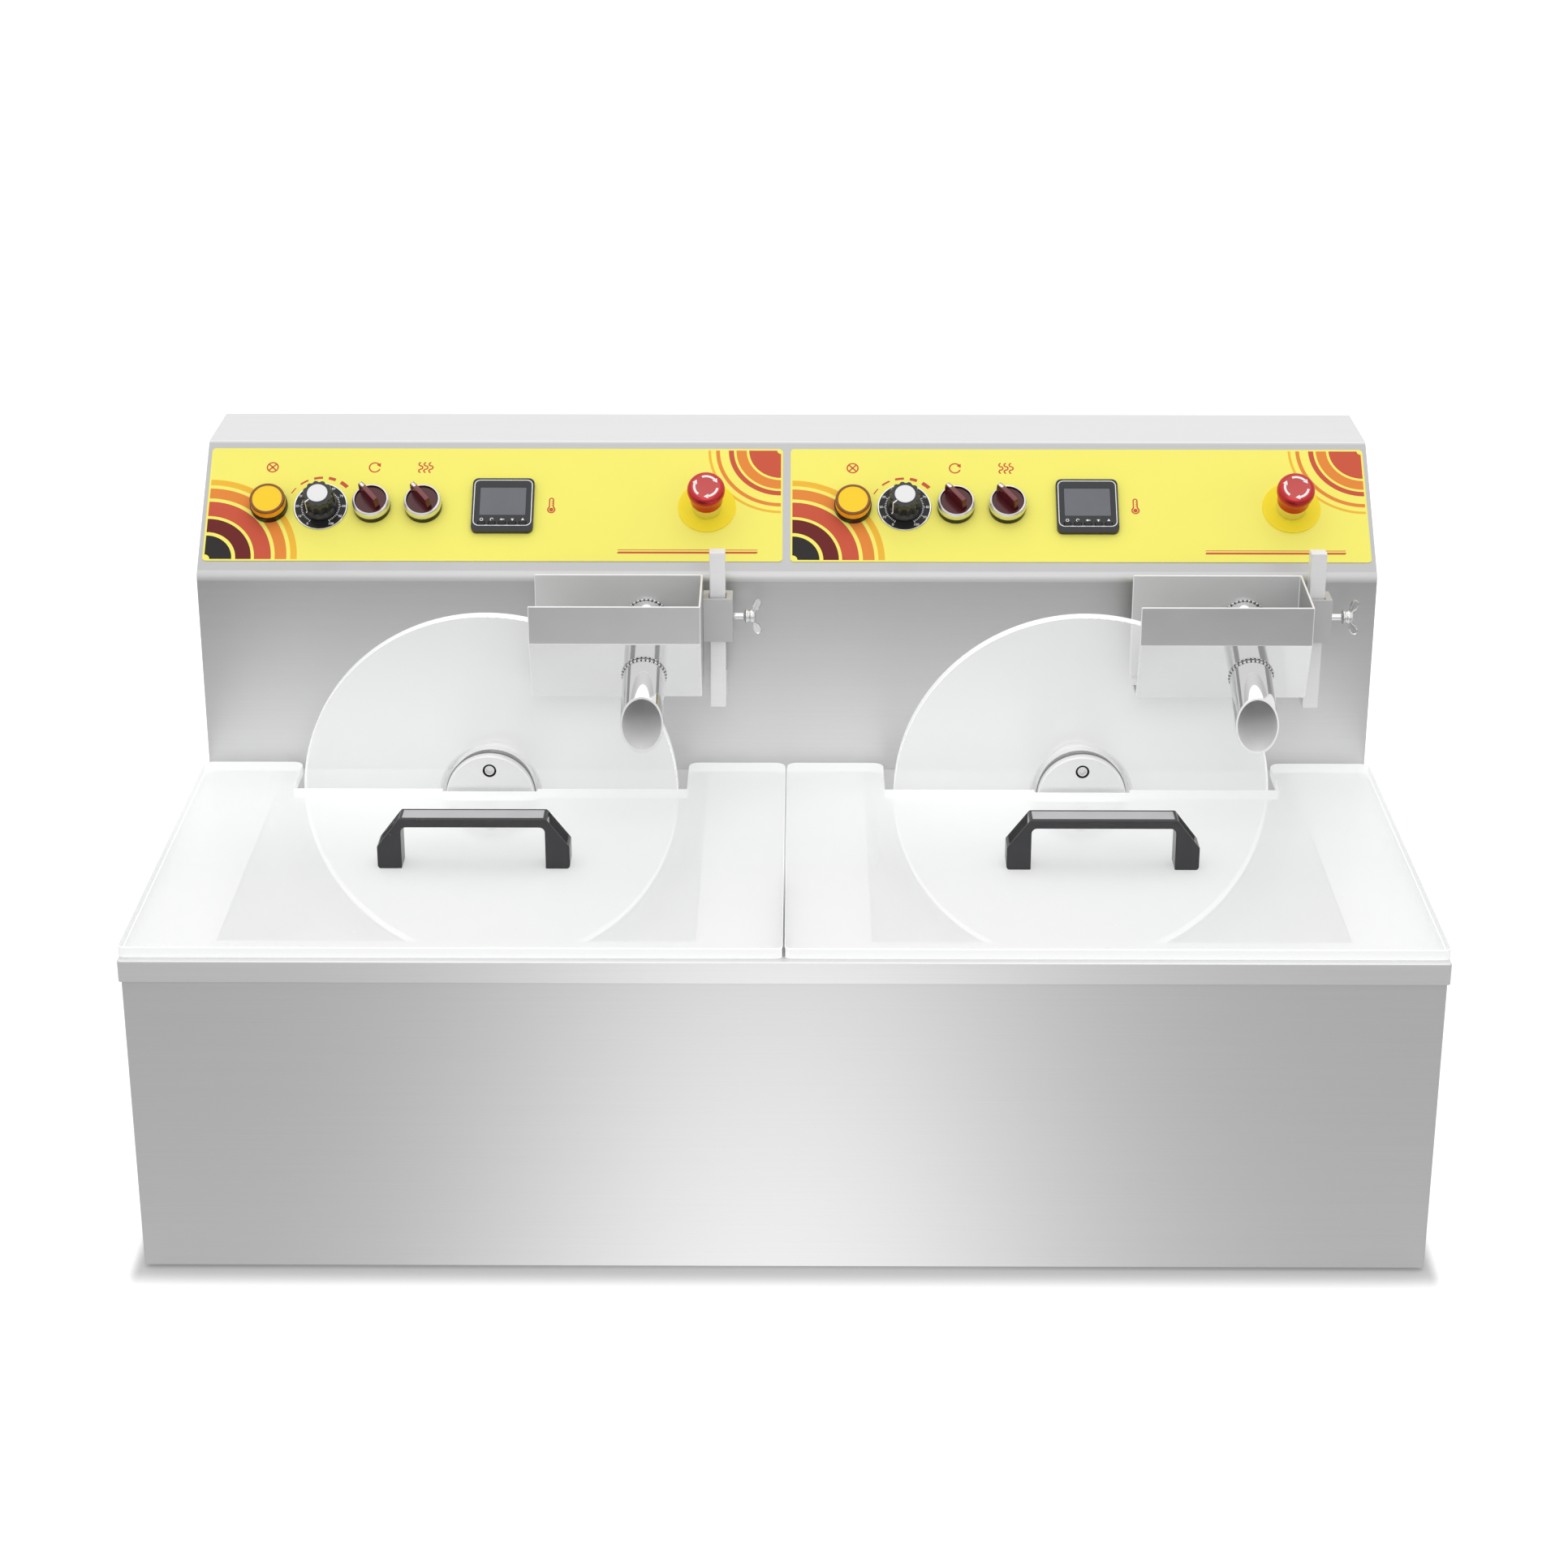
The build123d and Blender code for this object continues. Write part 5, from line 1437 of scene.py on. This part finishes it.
# %% Weld beads
bead_count = 32
rings_per_bead = 6
rope_radius = 0.5


def from_bead(place):
    """How many rings of the torus a place is from the middle of its bead."""
    step = 360 / bead_count
    angle = math.degrees(math.atan2(place.y, place.x)) % step
    return min(angle, step - angle) * rings_per_bead / step


def weld(name, radius, y, z, tilt):
    """A ring of beads round the spout, facing forward and tilted down by degrees."""
    rope = {"major_segments": rings_per_bead * bead_count, "minor_segments": 10}
    rope |= {"major_radius": radius * mm, "minor_radius": rope_radius * mm}
    piece = add_piece(name, bpy.ops.mesh.primitive_torus_add, **rope)
    start_editing(piece)
    for reach, fatten in ((2.5, 0.3), (1.5, 0.25), (0.5, 0.1)):
        pick(piece, lambda point: from_bead(point.co) < reach, "VERT")
        bpy.ops.transform.shrink_fatten(value=fatten * mm)
    stop_editing()
    smooth(piece, 60)
    paint(piece, "weld_steel")
    # Painted shade in the valleys between the beads.
    paint(piece, "weld_gap", lambda face: from_bead(face.center) > 2)
    place = Matrix.Translation((unit_x + spout_reach, y, z)) @ turn_about("X", 90 + tilt)
    settle(piece, place, "left_scraper", "bright_steel")


weld("left_front_weld", 16.2, 0.0048, 0.3503, spout_drop)
weld("left_back_weld", 16.4, 0.0596, spout_root_z, spout_drop / 3)
print("welds of", bead_count, "beads")

# %% [markdown]
# Each panel is covered by a printed sheet: bright yellow, with warm rings that ripple out of two
# corners, and a small red sign over each control instead of words. The round yellow plate under the
# stop button is bare. The sheet is a dressed solid, and the rest is flat print again.

# %% Yellow sheets
plate_radius = 22.7


def on_stop_plate(face, stop_place):
    """True for a face of the round plate, which stands a little above the sheet."""
    local = stop_place.inverted() @ face.center
    return local.xy.length < plate_radius * mm and local.z > (overlay_thickness + 0.02) * mm


overlay = dress("control_overlays", "yellow_print", 0.08)
for x in (stop_x, stop_x + unit_pitch):
    paint(overlay, "yellow_plate", lambda face: on_stop_plate(face, on_panel(x)))
print("overlay faces", len(overlay.data.polygons))

# %% [markdown]
# The rings are arcs of a quarter turn about a corner of the sheet, darkest at the lower left. Each row
# has the radius and width of an ink's rings at the lower left, and then at the upper right. Every ink
# becomes one joined piece.

# %% Corner rings
on_sheet = (on_panel(unit_x), overlay_thickness, "machine", "printed_overlay")
left_corner = (-222.5, -47.0)
right_corner = (222.5, 52.0)
ring_plan = {
    "black": ([(12.5, 17)], []),
    "maroon": ([(30, 12)], []),
    "red": ([(45, 13)], [(14, 22), (39, 4)]),
    "orange": ([(59, 9)], [(31, 8), (49.5, 3)]),
    "amber": ([(69, 5)], [(56, 2)]),
}
for ink, (left_rings, right_rings) in ring_plan.items():
    arcs = [moved(flat_arc(*ring, 0, 90, 144), *left_corner) for ring in left_rings]
    arcs += [moved(flat_arc(*ring, 180, 270, 144), *right_corner) for ring in right_rings]
    printed(f"left_{ink}_rings", arcs, f"{ink}_ink", *on_sheet)

# %% [markdown]
# The signs are drawn from the same few flat shapes: a crossed lamp, growing dashes round the speed
# knob, a turning arrow for the motor, three rising waves for the heat, and a thermometer beside the
# controller. Two thin rules run along the lower edge.

# %% Red signs
sign_height = 36
line = 1.1


def from_unit(x):
    """How far along the panel a device is from the middle of its unit, in millimetres."""
    return (x - unit_x) / mm


pilot, speed, motor, heat = (from_unit(x) for x in (pilot_x, speed_x, motor_x, heat_x))
thermometer = from_unit(controller_x) + 37.5
bulb_rise = -2.2
signs = [moved(flat_bar(-3.6, 3.6, -line / 2, line / 2), pilot, sign_height, turn) for turn in (45, 135)]
signs.append(moved(flat_arc(4.2, line, 0, 360), pilot, sign_height))
for count, angle in enumerate((146, 122, 98, 74, 50)):
    signs.append(moved(flat_arc(26.5, 0.9 + 0.55 * count, angle - 7, angle + 7, 144), speed, 0))
signs.append(moved(flat_arc(4.2, line, 40, 340), motor, sign_height))
signs.append(moved(flat_disc(2.2, 3), motor + 3.5, sign_height + 2.2, 300))
for step in (-4, 0, 4):
    for count, start in enumerate((90, 270, 90)):
        wave = flat_arc(1.5, line, start, start + 180, 36)
        signs.append(moved(wave, heat + step, sign_height - 3 + 3 * count))
signs.append(moved(flat_disc(1.7), thermometer, bulb_rise))
signs.append(moved(flat_arc(2.7, 1.1, 120, 420), thermometer, bulb_rise))
for side in (-1, 1):
    signs.append(moved(flat_bar(-0.5, 0.5, 2.1, 8.8), thermometer + 1.5 * side, bulb_rise))
signs.append(moved(flat_arc(1.5, 1.0, 0, 180, 36), thermometer, bulb_rise + 8.8))
for rise in (4.0, 5.8, 7.6):
    signs.append(moved(flat_bar(0.0, 1.2, rise - 0.3, rise + 0.3), thermometer, bulb_rise))
for low, high in ((-41.5, -39.8), (-38.6, -38.0)):
    signs.append(flat_bar(96, 204, low, high, 1.0))
printed("left_red_signs", signs, "red_ink", *on_sheet)

# %% [markdown]
# A few screws hold things that can be taken off: two in each handle, and a row round the rear panel.
# One screw is turned with a domed head and a round recess, and copied to each place.

# %% Screws
dome_profile = [(4.4, 0.0), (4.4, 0.8), (4.1, 1.6), (3.4, 2.2), (2.4, 2.5), (2.2, 2.4)]
dome_profile += [(2.0, 0.9), (0.6, 0.7)]
well_rise = 8 * mm
well_inset = 9.3 * mm
rear_inset = 9 * mm
rear_sink = 0.9 * mm


def screw_heads(name, places, turn, body):
    """Domed screw heads at some places, turned to look the right way, joined into one piece."""
    heads = []
    for place in places:
        head = turned("screw_head", dome_profile, 32)
        apply_place(head, Matrix.Translation(place) @ turn)
        heads.append(head)
    piece = joined(name, heads)
    smooth(piece)
    paint(piece, "polished_steel")
    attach(piece, body)
    print(name, len(places))


for name in both("left_lid_handle"):
    low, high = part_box(name)
    across = (low.y + high.y) / 2
    places = [(x, across, low.z + well_rise) for x in (low.x + well_inset, high.x - well_inset)]
    screw_heads(name + "_screws", places, Matrix.Identity(4), name.replace("_handle", ""))
low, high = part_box("rear_panel")
rear_step = (high.x - low.x - 2 * rear_inset) / 4
rear_places = []
for count in range(5):
    for z in (low.z + rear_inset, high.z - rear_inset):
        rear_places.append((low.x + rear_inset + count * rear_step, high.y - rear_sink, z))
screw_heads("rear_panel_screws", rear_places, turn_about("X", -90), "machine")
